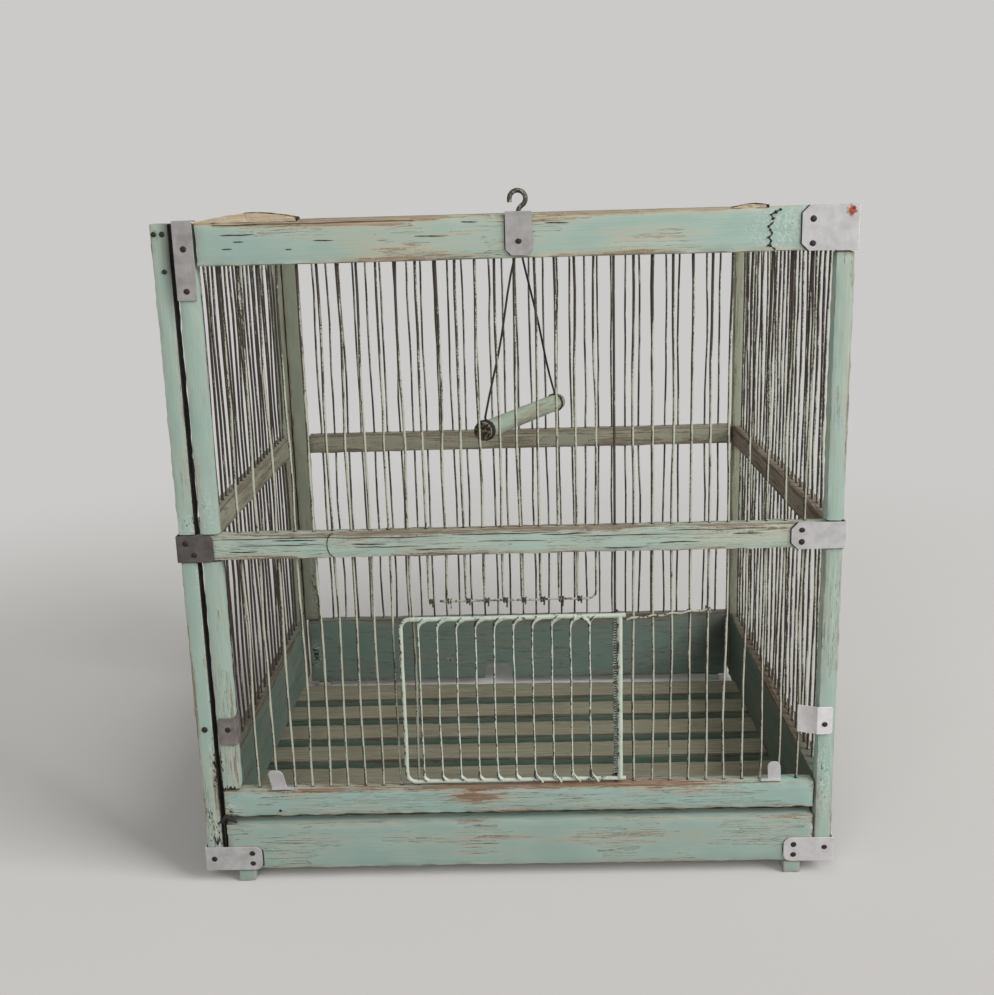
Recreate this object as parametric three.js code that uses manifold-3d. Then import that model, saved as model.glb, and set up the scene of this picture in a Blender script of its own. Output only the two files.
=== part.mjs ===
// Canary breeding cage: a box of old square-sawn sticks with drilled wire grilles on five
// sides, a slatted floor, a wire door hung on one of its own wires, tin corner straps and
// a hook that also carries the swing. Millimetres, +Z up, front towards -Y. The origin is
// under the middle of the cage, on the surface that it stands on.

import * as THREE from 'three';
import { mergeVertices } from 'three/addons/utils/BufferGeometryUtils.js';
import Module from 'manifold-3d';

const wasm = await Module();
wasm.setup();

// ---------- Driving dimensions ----------

// Frame of sticks.
const WIDTH = 420; // over the outer faces of the corner posts
const DEPTH = 348; // over the front and back faces of the corner posts
const FRAME_HEIGHT = 426; // underside of the front board to the top of the side and back rails
const FRONT_RISE = 2.5; // the front top rail stands this far over the other three
const STICK = 12; // thickness of every stick and board
const EASE = 0.7; // broken edge along a stick
const STILE_GAP = 2; // crack between a left post and the stile beside it
const SEAT = 0.3; // clearance between pieces that touch
const PAST = 1; // how far a cutting shape reaches past what it cuts
const LAP = 0.3; // how far the runs of one bent wire reach into each other
const TOP_RAIL_HEIGHT = 24;
const MID_RAIL_HEIGHT = 17.3;
const MID_RAIL_UP = 218.2; // underside of the front board to the underside of the mid rails

// Base: front board, sill, boards, floor and feet.
const FOOT_HEIGHT = 9;
const FOOT_SIDE = 12;
const FOOT_INSET = 20; // outer face of a post to the near side of a foot
const FRONT_BOARD_HEIGHT = 34;
const BOARD_GAP = 5; // open slit between the front board and the sill above it
const SILL_HEIGHT = 19.3; // bottom rail that the front wires stand on
const SIDE_BOARD_LIFT = 4.5; // side boards start this far above the front board's underside
const BACK_BOARD_DROP = 3; // the back board reaches this far below it
const NOTCH_WIDTH = 25; // finger notch in the back board's lower edge
const NOTCH_HEIGHT = 13;
const NOTCH_SHOULDER = 5; // radius of its upper corners
const NOTCH_OFFSET = -18; // middle of the cage to the middle of the notch
const SLAT_COUNT = 7;
const SLAT_WIDTH = 31;
const SLAT_THICKNESS = 7;
const SLAT_END = 4; // outer face of a side board to the end of a slat
const FLOOR_FRONT = 30; // front of the cage to the first slat
const FLOOR_BACK = 32; // last slat to the inside of the back board

// Wires.
const WIRE_R = 0.8;
const WIRE_SIDES = 5;
const ROD_SIDES = 8; // faces round the thicker rods
const WIRE_PITCH = 12;
const WIRE_SINK = 5; // how deep a wire's end stands in its blind hole
const HOLE_SIDES = 4;
const HOLE_R = 1.5; // corner radius of a wire's blind hole

// Door, with the wires that frame its opening.
const DOOR_WIRES = 10;
const DOOR_WIRE_PITCH = 12.3;
const DOOR_FIRST_WIRE = 11.3; // left bar of the door to its first wire
const DOOR_HEIGHT = 114; // between the centres of its top and bottom bars
const DOOR_LIFT = 1.8; // sill to the underside of the door
const DOOR_OVERLAP = 7.4; // how far the door reaches past the opening's left wire
const DOOR_TAIL = 7; // how far its bars run on past the hinge wire
const DOOR_CORNER = 6;
const DOOR_BAR_R = 1.4;
const DOOR_STANDOFF = 0.6; // cage wires to the back of the door
const WIRES_RIGHT_OF_HINGE = 10;
const HINGE_WALL = 0.7; // wall of the hinge sleeve
const EYE_RING_R = 0.8; // wire of the two eyes that the door turns on
const EYE_RING_CLEARANCE = 0.4;
const HEADER_LIFT = 11; // door's top bar to the header wire above the opening
const HEADER_BEND = 5;
const TIE_R = 0.6; // thin tie wire twisted along the wires beside the hinge
const TIE_WIRES = 5;
const TIE_START = 9; // hinge wire to the end of the tie wire
const TIE_RISE = 8;

// Hook, swing and perch.
const HOOK_X = 10; // middle of the cage to the bar that carries the hook
const HOOK_R = 1.5;
const HOOK_BORE_CLEARANCE = 0.5;
const HOOK_BOW = 6; // centreline radius of the open bow
const HOOK_NECK = 11.5; // top of the frame to the middle of the bow
const EYE_R = 4; // centreline radius of the eye below the bar
const EYE_DROP = 7; // underside of the bar to the middle of the eye
const SWING_TURN = 65; // degrees from +X to the perch, seen from above
const SWING_WIRE_R = 0.7;
const SWING_DROP = 128.5; // pivot to the middle of the perch
const PERCH_R = 5.5;
const PERCH_LENGTH = 138;
const PERCH_END = 6; // end of the perch to the middle of the wire ring on it

// Tin straps, plates and nails.
const TIN = 0.8;
const NAIL_R = 2;
const NAIL_CROWN_R = 1.2; // flat top of a nail head
const NAIL_PROUD = 0.6;
const NAIL_INSET = 6.5; // free end of a plate to its nails
const NAIL_EDGE = 4.8; // long edge of a plate to its nails
const TOP_NAIL_UP = 10.3; // underside of the top rail to the nail of the strap and of the centre plate
const POST_NAIL = 5; // side of the cage to a nail in a post
const PLATE_CORNER = 5;
const TOP_PLATE_CORNER = 6.5;
const WRAP = 20; // how far a corner plate runs round the side of the cage
const STRAP_LENGTH = 46; // top of the frame to the lower end of the top left strap
const STRAP_FOLD = 10;
const STRAP_CORNER = 1;
const CENTRE_PLATE_WIDTH = 17;
const CENTRE_PLATE_HEIGHT = 24.5;
const CENTRE_PLATE_FOLD = 11;
const CENTRE_PLATE_CORNER = 3;
const TOP_PLATE_WIDTH = 32.7;
const MID_PLATE_RIGHT_WIDTH = 33.3;
const MID_PLATE_LEFT_WIDTH = 22.5;
const LOW_PLATE_LEFT_WIDTH = 37.5;
const LOW_PLATE_RIGHT_WIDTH = 32;
const LOW_PLATE_HEIGHT = 17;
const LOW_PLATE_UP = 0.5; // underside of the front board to the low plates

// Low angles and tabs.
const BRACKET_HEIGHT = 19; // the low angles
const BRACKET_LEG = 9.5;
const BRACKET_CORNER = 2;
const BRACKET_UP = 92; // underside of the front board to the low angles
const TAB_HEIGHT = 13;
const TAB_CROWN = 3.8; // radius of a tab's upper corners
const TAB_FOOT = 5;
const TAB_SETBACK = 2.2; // front of the sill to the tabs
const TAB_LEFT_WIDTH = 10;
const TAB_LEFT_IN = 47; // side of the cage to the tab
const TAB_RIGHT_WIDTH = 8.5;
const TAB_RIGHT_IN = 34.5;

// ---------- Places worked out from them ----------

// The nail heads stand proud of the front only, so the frame sits back by half of that.
const FRONT_PROUD = SEAT + TIN + NAIL_PROUD;
const FRONT = -DEPTH / 2 + FRONT_PROUD / 2;
const BACK = FRONT + DEPTH;
const LEFT = -WIDTH / 2;
const RIGHT = WIDTH / 2;
const MIDDLE_Y = (FRONT + BACK) / 2;
const INSIDE_FRONT = FRONT + STICK;
const INSIDE_BACK = BACK - STICK;
const INSIDE_LEFT = LEFT + STICK;
const INSIDE_RIGHT = RIGHT - STICK;
const STILE_LEFT = INSIDE_LEFT + STILE_GAP;
const STILE_RIGHT = STILE_LEFT + STICK;

const BASE = FOOT_HEIGHT;
const FRAME_TOP = BASE + FRAME_HEIGHT;
const FRONT_TOP = FRAME_TOP + FRONT_RISE;
const TOP_RAIL_BOTTOM = FRAME_TOP - TOP_RAIL_HEIGHT;
const SILL_BOTTOM = BASE + FRONT_BOARD_HEIGHT + BOARD_GAP;
const SILL_TOP = SILL_BOTTOM + SILL_HEIGHT;
const MID_RAIL_BOTTOM = BASE + MID_RAIL_UP;
const MID_RAIL_TOP = MID_RAIL_BOTTOM + MID_RAIL_HEIGHT;
const SIDE_BOARD_BOTTOM = BASE + SIDE_BOARD_LIFT;
const BACK_BOARD_BOTTOM = BASE - BACK_BOARD_DROP;

// Every grille lies in the middle of the thickness of its sticks.
const FRONT_WIRE_Y = FRONT + STICK / 2;
const BACK_WIRE_Y = BACK - STICK / 2;
const LEFT_WIRE_X = LEFT + STICK / 2;
const RIGHT_WIRE_X = RIGHT - STICK / 2;
const TOP_WIRE_Z = FRAME_TOP - STICK / 2;
const WIRE_BOTTOM = SILL_TOP - WIRE_SINK;
const WIRE_TOP = TOP_RAIL_BOTTOM + WIRE_SINK;

// Evenly spaced places between two faces, about one wire pitch apart. An even number of
// wires leaves the middle free, which is where the hook goes through the top.
function wirePlaces(start, end, even) {
  const spaces = (end - start) / WIRE_PITCH;
  const count = even ? 2 * Math.floor(spaces / 2) : Math.round(spaces) - 1;
  const step = (end - start) / (count + 1);
  return Array.from({ length: count }, (_, i) => start + (i + 1) * step);
}
const acrossWires = wirePlaces(STILE_RIGHT, INSIDE_RIGHT, false);
const depthWires = wirePlaces(INSIDE_FRONT, INSIDE_BACK, true);

const hingeIndex = acrossWires.length - 1 - WIRES_RIGHT_OF_HINGE;
const cornerIndex = hingeIndex - 1; // this wire bends over and becomes the header
const jambIndex = hingeIndex - DOOR_WIRES - 1; // last whole wire left of the opening
const HINGE_X = acrossWires[hingeIndex];
const DOOR_LEFT = acrossWires[jambIndex] - DOOR_OVERLAP;
const DOOR_Y = FRONT_WIRE_Y - WIRE_R - DOOR_STANDOFF - DOOR_BAR_R;
const DOOR_BOTTOM = SILL_TOP + DOOR_LIFT + DOOR_BAR_R;
const DOOR_TOP = DOOR_BOTTOM + DOOR_HEIGHT;
const HEADER_Z = DOOR_TOP + HEADER_LIFT;
const SLEEVE_INNER_R = WIRE_R + SEAT;
const SLEEVE_R = SLEEVE_INNER_R + HINGE_WALL;
const DOOR_ROD_X = HINGE_X + SLEEVE_R + DOOR_BAR_R + SEAT;

const BAR_BOTTOM = FRAME_TOP - STICK;
const EYE_Z = BAR_BOTTOM - EYE_DROP;
const BIGHT_R = HOOK_R + SWING_WIRE_R + SEAT;
const PIVOT_Z = EYE_Z - EYE_R + BIGHT_R;

// ---------- Materials ----------

function finish(color, roughness, metalness) {
  return new THREE.MeshStandardMaterial({ color, roughness, metalness, flatShading: true });
}
const greenPaint = finish('#9fb8a9', 0.72, 0);
const innerPaint = finish('#7f978b', 0.78, 0);
const grilleFinish = finish('#a3a894', 0.7, 0.1);
const floorWood = finish('#9a917e', 0.85, 0);
const tin = finish('#c6c7cb', 0.42, 0.8);
const agedTin = finish('#8d8489', 0.6, 0.6);
const hookIron = finish('#6c6a5f', 0.5, 0.8);
const swingIron = finish('#3d3631', 0.65, 0.6);
const perchPaint = finish('#a3bfae', 0.7, 0);
const doorPaint = finish('#b9c4b1', 0.6, 0.2);

// ---------- Shapes and solids ----------

const X = new THREE.Vector3(1, 0, 0);
const Y = new THREE.Vector3(0, 1, 0);
const Z = new THREE.Vector3(0, 0, 1);

function solid(geometry) {
  geometry.deleteAttribute('normal');
  geometry.deleteAttribute('uv');
  const merged = mergeVertices(geometry, 1e-4);
  const vertProperties = Float32Array.from(merged.attributes.position.array);
  const triVerts = Uint32Array.from(merged.index.array);
  return new wasm.Manifold(new wasm.Mesh({ numProp: 3, vertProperties, triVerts }));
}

function join(solids) {
  return solids.reduce((whole, piece) => whole.add(piece));
}

function box(x0, x1, y0, y1, z0, z1) {
  const geometry = new THREE.BoxGeometry(x1 - x0, y1 - y0, z1 - z0);
  return solid(geometry.translate((x0 + x1) / 2, (y0 + y1) / 2, (z0 + z1) / 2));
}

// A sawn stick: a rectangle with broken edges, extruded along its grain.
function stick(x0, x1, y0, y1, z0, z1, grain) {
  const spans = { x: [y0, y1, z0, z1], y: [z0, z1, x0, x1], z: [x0, x1, y0, y1] };
  const bases = { x: [Y, Z, X], y: [Z, X, Y], z: [X, Y, Z] };
  const runs = { x: [x0, x1], y: [y0, y1], z: [z0, z1] };
  const [u0, u1, v0, v1] = spans[grain];
  const [start, end] = runs[grain];
  const section = new THREE.Shape([
    new THREE.Vector2(u0 + EASE, v0),
    new THREE.Vector2(u1 - EASE, v0),
    new THREE.Vector2(u1, v0 + EASE),
    new THREE.Vector2(u1, v1 - EASE),
    new THREE.Vector2(u1 - EASE, v1),
    new THREE.Vector2(u0 + EASE, v1),
    new THREE.Vector2(u0, v1 - EASE),
    new THREE.Vector2(u0, v0 + EASE),
  ]);
  const geometry = new THREE.ExtrudeGeometry(section, { depth: end - start, bevelEnabled: false });
  geometry.translate(0, 0, start);
  geometry.applyMatrix4(new THREE.Matrix4().makeBasis(...bases[grain]));
  return solid(geometry);
}

// A straight round rod between two points.
function rod(start, end, radius, sides) {
  const along = end.clone().sub(start);
  const geometry = new THREE.CylinderGeometry(radius, radius, along.length(), sides);
  const turn = new THREE.Quaternion().setFromUnitVectors(Y, along.normalize());
  geometry.applyQuaternion(turn);
  geometry.translate(...start.clone().add(end).multiplyScalar(0.5));
  return solid(geometry);
}

function uprightRod(x, y, z0, z1, radius, sides) {
  return rod(new THREE.Vector3(x, y, z0), new THREE.Vector3(x, y, z1), radius, sides);
}

// A bent wire of round section along a curve.
function bentWire(path, radius, sides, steps) {
  const section = new THREE.Shape();
  for (let i = 0; i < sides; i += 1) {
    const angle = (2 * Math.PI * i) / sides;
    const place = [radius * Math.cos(angle), radius * Math.sin(angle)];
    if (i === 0) section.moveTo(...place);
    else section.lineTo(...place);
  }
  return solid(new THREE.ExtrudeGeometry(section, { steps, extrudePath: path }));
}

function ring(radius, wireRadius, sides, steps, normal, middle) {
  const geometry = new THREE.TorusGeometry(radius, wireRadius, sides, steps);
  geometry.applyQuaternion(new THREE.Quaternion().setFromUnitVectors(Z, normal));
  return solid(geometry.translate(...middle));
}

const cage = new THREE.Group();

function addPiece(name, shape, material) {
  const { vertProperties, triVerts } = shape.getMesh();
  const geometry = new THREE.BufferGeometry();
  geometry.setAttribute('position', new THREE.BufferAttribute(vertProperties, 3));
  geometry.setIndex(new THREE.BufferAttribute(triVerts, 1));
  geometry.computeVertexNormals();
  const piece = new THREE.Mesh(geometry, material);
  piece.name = name;
  cage.add(piece);
}

// ---------- Corner posts and stiles ----------

// The front mid rail is let into the posts by half of their thickness.
const lapNotch = box(
  LEFT - PAST, RIGHT + PAST,
  FRONT - PAST, FRONT + (STICK + SEAT) / 2,
  MID_RAIL_BOTTOM - SEAT, MID_RAIL_TOP + SEAT,
);
const underRail = TOP_RAIL_BOTTOM - SEAT;
const onSill = SILL_TOP + SEAT;

function post(x, y, bottom, top) {
  return stick(x, x + STICK, y, y + STICK, bottom, top, 'z');
}
addPiece('post_front_left', post(LEFT, FRONT, BASE, FRONT_TOP).subtract(lapNotch), greenPaint);
addPiece('stile_front_left',
  post(STILE_LEFT, FRONT, onSill, FRONT_TOP).subtract(lapNotch), greenPaint);
addPiece('post_front_right',
  post(INSIDE_RIGHT, FRONT, BASE, underRail).subtract(lapNotch), greenPaint);
addPiece('post_back_left', post(LEFT, INSIDE_BACK, BASE, FRAME_TOP), innerPaint);
addPiece('stile_back_left', post(STILE_LEFT, INSIDE_BACK, onSill, FRAME_TOP), innerPaint);
addPiece('post_back_right', post(INSIDE_RIGHT, INSIDE_BACK, BASE, underRail), innerPaint);

// ---------- Top rails, drilled for the wires ----------

// Blind holes for wires that run up into a rail or down into a board.
function upHoles(places, at, face, depth) {
  return join(places.map((place) => {
    const [x, y] = at(place);
    return uprightRod(x, y, face - PAST, face + depth, HOLE_R, HOLE_SIDES);
  }));
}
function downHoles(places, at, face, depth) {
  return join(places.map((place) => {
    const [x, y] = at(place);
    return uprightRod(x, y, face - depth, face + PAST, HOLE_R, HOLE_SIDES);
  }));
}
// Blind holes in the inner face of a side rail for the wires of the top.
function sidewaysHoles(face, tip) {
  return join(depthWires.map((y) => rod(
    new THREE.Vector3(face, y, TOP_WIRE_Z),
    new THREE.Vector3(tip, y, TOP_WIRE_Z),
    HOLE_R, HOLE_SIDES,
  )));
}
const onFront = (x) => [x, FRONT_WIRE_Y];
const onBack = (x) => [x, BACK_WIRE_Y];
const onLeft = (y) => [LEFT_WIRE_X, y];
const onRight = (y) => [RIGHT_WIRE_X, y];
const holeDepth = WIRE_SINK + SEAT;

const acrossStart = STILE_RIGHT + SEAT;
const depthStart = INSIDE_FRONT + SEAT;
const depthEnd = INSIDE_BACK - SEAT;

addPiece('top_rail_front',
  stick(acrossStart, RIGHT, FRONT, INSIDE_FRONT, TOP_RAIL_BOTTOM, FRONT_TOP, 'x')
    .subtract(upHoles(acrossWires, onFront, TOP_RAIL_BOTTOM, holeDepth)), greenPaint);
addPiece('top_rail_back',
  stick(acrossStart, RIGHT, INSIDE_BACK, BACK, TOP_RAIL_BOTTOM, FRAME_TOP, 'x')
    .subtract(upHoles(acrossWires, onBack, TOP_RAIL_BOTTOM, holeDepth)), innerPaint);
addPiece('top_rail_left',
  stick(LEFT, INSIDE_LEFT, depthStart, depthEnd, TOP_RAIL_BOTTOM, FRAME_TOP, 'y')
    .subtract(upHoles(depthWires, onLeft, TOP_RAIL_BOTTOM, holeDepth))
    .subtract(sidewaysHoles(INSIDE_LEFT + PAST, INSIDE_LEFT - holeDepth)), innerPaint);
addPiece('top_rail_right',
  stick(INSIDE_RIGHT, RIGHT, depthStart, depthEnd, TOP_RAIL_BOTTOM, FRAME_TOP, 'y')
    .subtract(upHoles(depthWires, onRight, TOP_RAIL_BOTTOM, holeDepth))
    .subtract(sidewaysHoles(INSIDE_RIGHT - PAST, INSIDE_RIGHT + holeDepth)), innerPaint);

// ---------- Front bottom rail, boards, floor and feet ----------

const openIndex = (i) => i > jambIndex && i < hingeIndex;
const sillWires = acrossWires.filter((_, i) => !openIndex(i));
const baseLeft = STILE_LEFT;
const baseRight = INSIDE_RIGHT - SEAT;

addPiece('front_bottom_rail',
  stick(baseLeft, baseRight, FRONT, INSIDE_FRONT, SILL_BOTTOM, SILL_TOP, 'x')
    .subtract(downHoles(sillWires, onFront, SILL_TOP, holeDepth)), greenPaint);
addPiece('front_board',
  stick(baseLeft, baseRight, FRONT, INSIDE_FRONT, BASE, BASE + FRONT_BOARD_HEIGHT, 'x'),
  greenPaint);

// The finger notch: straight cheeks and two round shoulders under a flat top.
function notchCutter() {
  const middle = NOTCH_OFFSET;
  const half = NOTCH_WIDTH / 2;
  const top = NOTCH_HEIGHT;
  const outline = new THREE.Shape();
  outline.moveTo(middle - half, -PAST);
  outline.lineTo(middle + half, -PAST);
  outline.lineTo(middle + half, top - NOTCH_SHOULDER);
  outline.quadraticCurveTo(middle + half, top, middle + half - NOTCH_SHOULDER, top);
  outline.lineTo(middle - half + NOTCH_SHOULDER, top);
  outline.quadraticCurveTo(middle - half, top, middle - half, top - NOTCH_SHOULDER);
  const geometry = new THREE.ExtrudeGeometry(outline,
    { depth: STICK + 2 * PAST, bevelEnabled: false, curveSegments: 4 });
  geometry.applyMatrix4(new THREE.Matrix4().makeBasis(X, Z, Y.clone().negate()));
  return solid(geometry.translate(0, BACK + PAST, BACK_BOARD_BOTTOM));
}
addPiece('back_board',
  stick(baseLeft, baseRight, INSIDE_BACK, BACK, BACK_BOARD_BOTTOM, SILL_TOP, 'x')
    .subtract(downHoles(acrossWires, onBack, SILL_TOP, holeDepth))
    .subtract(notchCutter()), innerPaint);
addPiece('side_board_left',
  stick(LEFT, INSIDE_LEFT, depthStart, depthEnd, SIDE_BOARD_BOTTOM, SILL_TOP, 'y')
    .subtract(downHoles(depthWires, onLeft, SILL_TOP, holeDepth)), innerPaint);
addPiece('side_board_right',
  stick(INSIDE_RIGHT, RIGHT, depthStart, depthEnd, SIDE_BOARD_BOTTOM, SILL_TOP, 'y')
    .subtract(downHoles(depthWires, onRight, SILL_TOP, holeDepth)), innerPaint);

// The slats are nailed across the undersides of the side boards.
const slatTop = SIDE_BOARD_BOTTOM - SEAT;
const floorRun = INSIDE_BACK - FLOOR_BACK - (FRONT + FLOOR_FRONT);
const slatPitch = (floorRun - SLAT_WIDTH) / (SLAT_COUNT - 1);
for (let i = 0; i < SLAT_COUNT; i += 1) {
  const y = FRONT + FLOOR_FRONT + i * slatPitch;
  addPiece(`floor_slat_${i + 1}`,
    stick(LEFT + SLAT_END, RIGHT - SLAT_END, y, y + SLAT_WIDTH,
      slatTop - SLAT_THICKNESS, slatTop, 'x'), floorWood);
}

const footLeft = LEFT + FOOT_INSET;
const footRight = RIGHT - FOOT_INSET - FOOT_SIDE;
function foot(name, x, y, top) {
  addPiece(name, stick(x, x + FOOT_SIDE, y, y + FOOT_SIDE, 0, top - SEAT, 'z'), greenPaint);
}
foot('foot_front_left', footLeft, FRONT, BASE);
foot('foot_front_right', footRight, FRONT, BASE);
foot('foot_back_left', footLeft, BACK - FOOT_SIDE, BACK_BOARD_BOTTOM);
foot('foot_back_right', footRight, BACK - FOOT_SIDE, BACK_BOARD_BOTTOM);

// ---------- Grilles: a drilled rail with the wires that pass through it ----------

function uprightWires(places, at) {
  return places.map((place) => {
    const [x, y] = at(place);
    return uprightRod(x, y, WIRE_BOTTOM, WIRE_TOP, WIRE_R, WIRE_SIDES);
  });
}

function frontMidRail() {
  const whole = stick(LEFT, RIGHT, FRONT, INSIDE_FRONT, MID_RAIL_BOTTOM, MID_RAIL_TOP, 'x');
  const lapBack = FRONT + (STICK - SEAT) / 2;
  const low = MID_RAIL_BOTTOM - PAST;
  const high = MID_RAIL_TOP + PAST;
  const leftLap = box(LEFT - PAST, STILE_RIGHT + SEAT, lapBack, INSIDE_FRONT + PAST, low, high);
  const rightLap = box(INSIDE_RIGHT - SEAT, RIGHT + PAST, lapBack, INSIDE_FRONT + PAST, low, high);
  return whole.subtract(leftLap).subtract(rightLap);
}

// The corner wire comes down, bends to the left and runs over the opening.
function headerWire() {
  const corner = acrossWires[cornerIndex];
  const bendTop = HEADER_Z + HEADER_BEND;
  const at = (x, z) => new THREE.Vector3(x, FRONT_WIRE_Y, z);
  const path = new THREE.CurvePath();
  path.add(new THREE.QuadraticBezierCurve3(
    at(corner, bendTop), at(corner, HEADER_Z), at(corner - HEADER_BEND, HEADER_Z),
  ));
  const bend = bentWire(path, WIRE_R, 6, 5);
  const drop = rod(at(corner, WIRE_TOP), at(corner, bendTop - LAP), WIRE_R, WIRE_SIDES);
  const end = acrossWires[jambIndex + 1] - 2 * WIRE_R;
  const run = rod(at(corner - HEADER_BEND + LAP, HEADER_Z), at(end, HEADER_Z), WIRE_R, WIRE_SIDES);
  return [drop, bend, run];
}

// The wires over the opening are cut off at the header and turned round it.
function cutWires() {
  return acrossWires
    .filter((_, i) => i > jambIndex && i < cornerIndex)
    .map((x) => uprightRod(x, FRONT_WIRE_Y, HEADER_Z - 2 * WIRE_R, WIRE_TOP, WIRE_R, WIRE_SIDES));
}

function tieWire() {
  const last = acrossWires[Math.min(hingeIndex + TIE_WIRES, acrossWires.length - 1)];
  const y = FRONT_WIRE_Y - WIRE_R - TIE_R / 2;
  return rod(
    new THREE.Vector3(HINGE_X + TIE_START, y, DOOR_TOP),
    new THREE.Vector3(last + 2 * WIRE_R, y, DOOR_TOP + TIE_RISE),
    TIE_R, WIRE_SIDES,
  );
}

addPiece('grille_front', join([
  frontMidRail(), ...uprightWires(sillWires, onFront), ...cutWires(), ...headerWire(), tieWire(),
]), grilleFinish);
addPiece('grille_back', join([
  stick(acrossStart, baseRight, INSIDE_BACK, BACK, MID_RAIL_BOTTOM, MID_RAIL_TOP, 'x'),
  ...uprightWires(acrossWires, onBack),
]), grilleFinish);
addPiece('grille_left', join([
  stick(LEFT, INSIDE_LEFT, depthStart, depthEnd, MID_RAIL_BOTTOM, MID_RAIL_TOP, 'y'),
  ...uprightWires(depthWires, onLeft),
]), grilleFinish);
addPiece('grille_right', join([
  stick(INSIDE_RIGHT, RIGHT, depthStart, depthEnd, MID_RAIL_BOTTOM, MID_RAIL_TOP, 'y'),
  ...uprightWires(depthWires, onRight),
]), grilleFinish);

// The top's wires run from side to side through the bar that carries the hook.
const topWires = depthWires.map((y) => rod(
  new THREE.Vector3(INSIDE_LEFT - WIRE_SINK, y, TOP_WIRE_Z),
  new THREE.Vector3(INSIDE_RIGHT + WIRE_SINK, y, TOP_WIRE_Z),
  WIRE_R, WIRE_SIDES,
));
const hookBar = stick(HOOK_X - STICK / 2, HOOK_X + STICK / 2, depthStart, depthEnd,
  BAR_BOTTOM, FRAME_TOP, 'y');
const hookBore = uprightRod(HOOK_X, MIDDLE_Y, BAR_BOTTOM - PAST, FRAME_TOP + PAST,
  HOOK_R + HOOK_BORE_CLEARANCE, ROD_SIDES);
addPiece('grille_top', join([hookBar, ...topWires]).subtract(hookBore), grilleFinish);

// ---------- Tin plates and straps, with their nail heads ----------

// A sheet that faces the front, with its own radius (or cut, if not round) at each corner.
// Its back lies in the plane y.
function frontSheet([x0, x1], [z0, z1], y, corners, round = true) {
  const { lowLeft = 0, lowRight = 0, highLeft = 0, highRight = 0 } = corners;
  const outline = new THREE.Shape();
  const turn = (cornerX, cornerZ, endX, endZ) => {
    if (round) outline.quadraticCurveTo(cornerX, cornerZ, endX, endZ);
    else outline.lineTo(endX, endZ);
  };
  outline.moveTo(x0 + lowLeft, z0);
  outline.lineTo(x1 - lowRight, z0);
  if (lowRight) turn(x1, z0, x1, z0 + lowRight);
  outline.lineTo(x1, z1 - highRight);
  if (highRight) turn(x1, z1, x1 - highRight, z1);
  outline.lineTo(x0 + highLeft, z1);
  if (highLeft) turn(x0, z1, x0, z1 - highLeft);
  outline.lineTo(x0, z0 + lowLeft);
  if (lowLeft) turn(x0, z0, x0 + lowLeft, z0);
  const geometry = new THREE.ExtrudeGeometry(outline,
    { depth: TIN, bevelEnabled: false, curveSegments: 3 });
  geometry.applyMatrix4(new THREE.Matrix4().makeBasis(X, Z, Y.clone().negate()));
  return solid(geometry.translate(0, y, 0));
}
const plate = (x, z, corners, round) => frontSheet(x, z, FRONT - SEAT, corners, round);
const leftEnd = (radius) => ({ lowLeft: radius, highLeft: radius });
const rightEnd = (radius) => ({ lowRight: radius, highRight: radius });

const PLATE_FACE = FRONT - SEAT - TIN;
function nail(x, z) {
  const height = NAIL_PROUD + TIN / 2;
  const geometry = new THREE.CylinderGeometry(NAIL_CROWN_R, NAIL_R, height, ROD_SIDES);
  geometry.rotateX(Math.PI);
  return solid(geometry.translate(x, PLATE_FACE - NAIL_PROUD + height / 2, z));
}
const nailPair = (x, [z0, z1]) => nail(x, z0 + NAIL_EDGE).add(nail(x, z1 - NAIL_EDGE));

// The legs that a plate folds into: round the right side, the left side or over the top.
const tinRight = RIGHT + SEAT + TIN;
const tinLeft = LEFT - SEAT - TIN;
const tinTop = FRONT_TOP + SEAT + TIN;
const rightLeg = ([z0, z1]) => box(RIGHT + SEAT, tinRight, PLATE_FACE, FRONT + WRAP, z0, z1);
const leftLeg = ([z0, z1]) => box(tinLeft, LEFT - SEAT, PLATE_FACE, FRONT + WRAP, z0, z1);
const topLeg = ([x0, x1], reach) =>
  box(x0, x1, PLATE_FACE, FRONT + reach, FRONT_TOP + SEAT, tinTop);

const strapX = [STILE_LEFT, STILE_RIGHT];
const strapZ = [FRONT_TOP - STRAP_LENGTH, tinTop];
const strapMiddle = (STILE_LEFT + STILE_RIGHT) / 2;
addPiece('strap_top_left', join([
  plate(strapX, strapZ, { lowLeft: STRAP_CORNER, lowRight: STRAP_CORNER }),
  topLeg(strapX, STRAP_FOLD),
  nail(strapMiddle, TOP_RAIL_BOTTOM + TOP_NAIL_UP),
  nail(strapMiddle, strapZ[0] + NAIL_EDGE),
]), tin);

const centreX = [HOOK_X - CENTRE_PLATE_WIDTH / 2, HOOK_X + CENTRE_PLATE_WIDTH / 2];
const centreZ = [FRONT_TOP - CENTRE_PLATE_HEIGHT, tinTop];
const centreCuts = { lowLeft: CENTRE_PLATE_CORNER, lowRight: CENTRE_PLATE_CORNER };
addPiece('plate_top_centre', join([
  plate(centreX, centreZ, centreCuts, false),
  topLeg(centreX, CENTRE_PLATE_FOLD),
  nail(HOOK_X, TOP_RAIL_BOTTOM + TOP_NAIL_UP),
]), tin);

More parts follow.
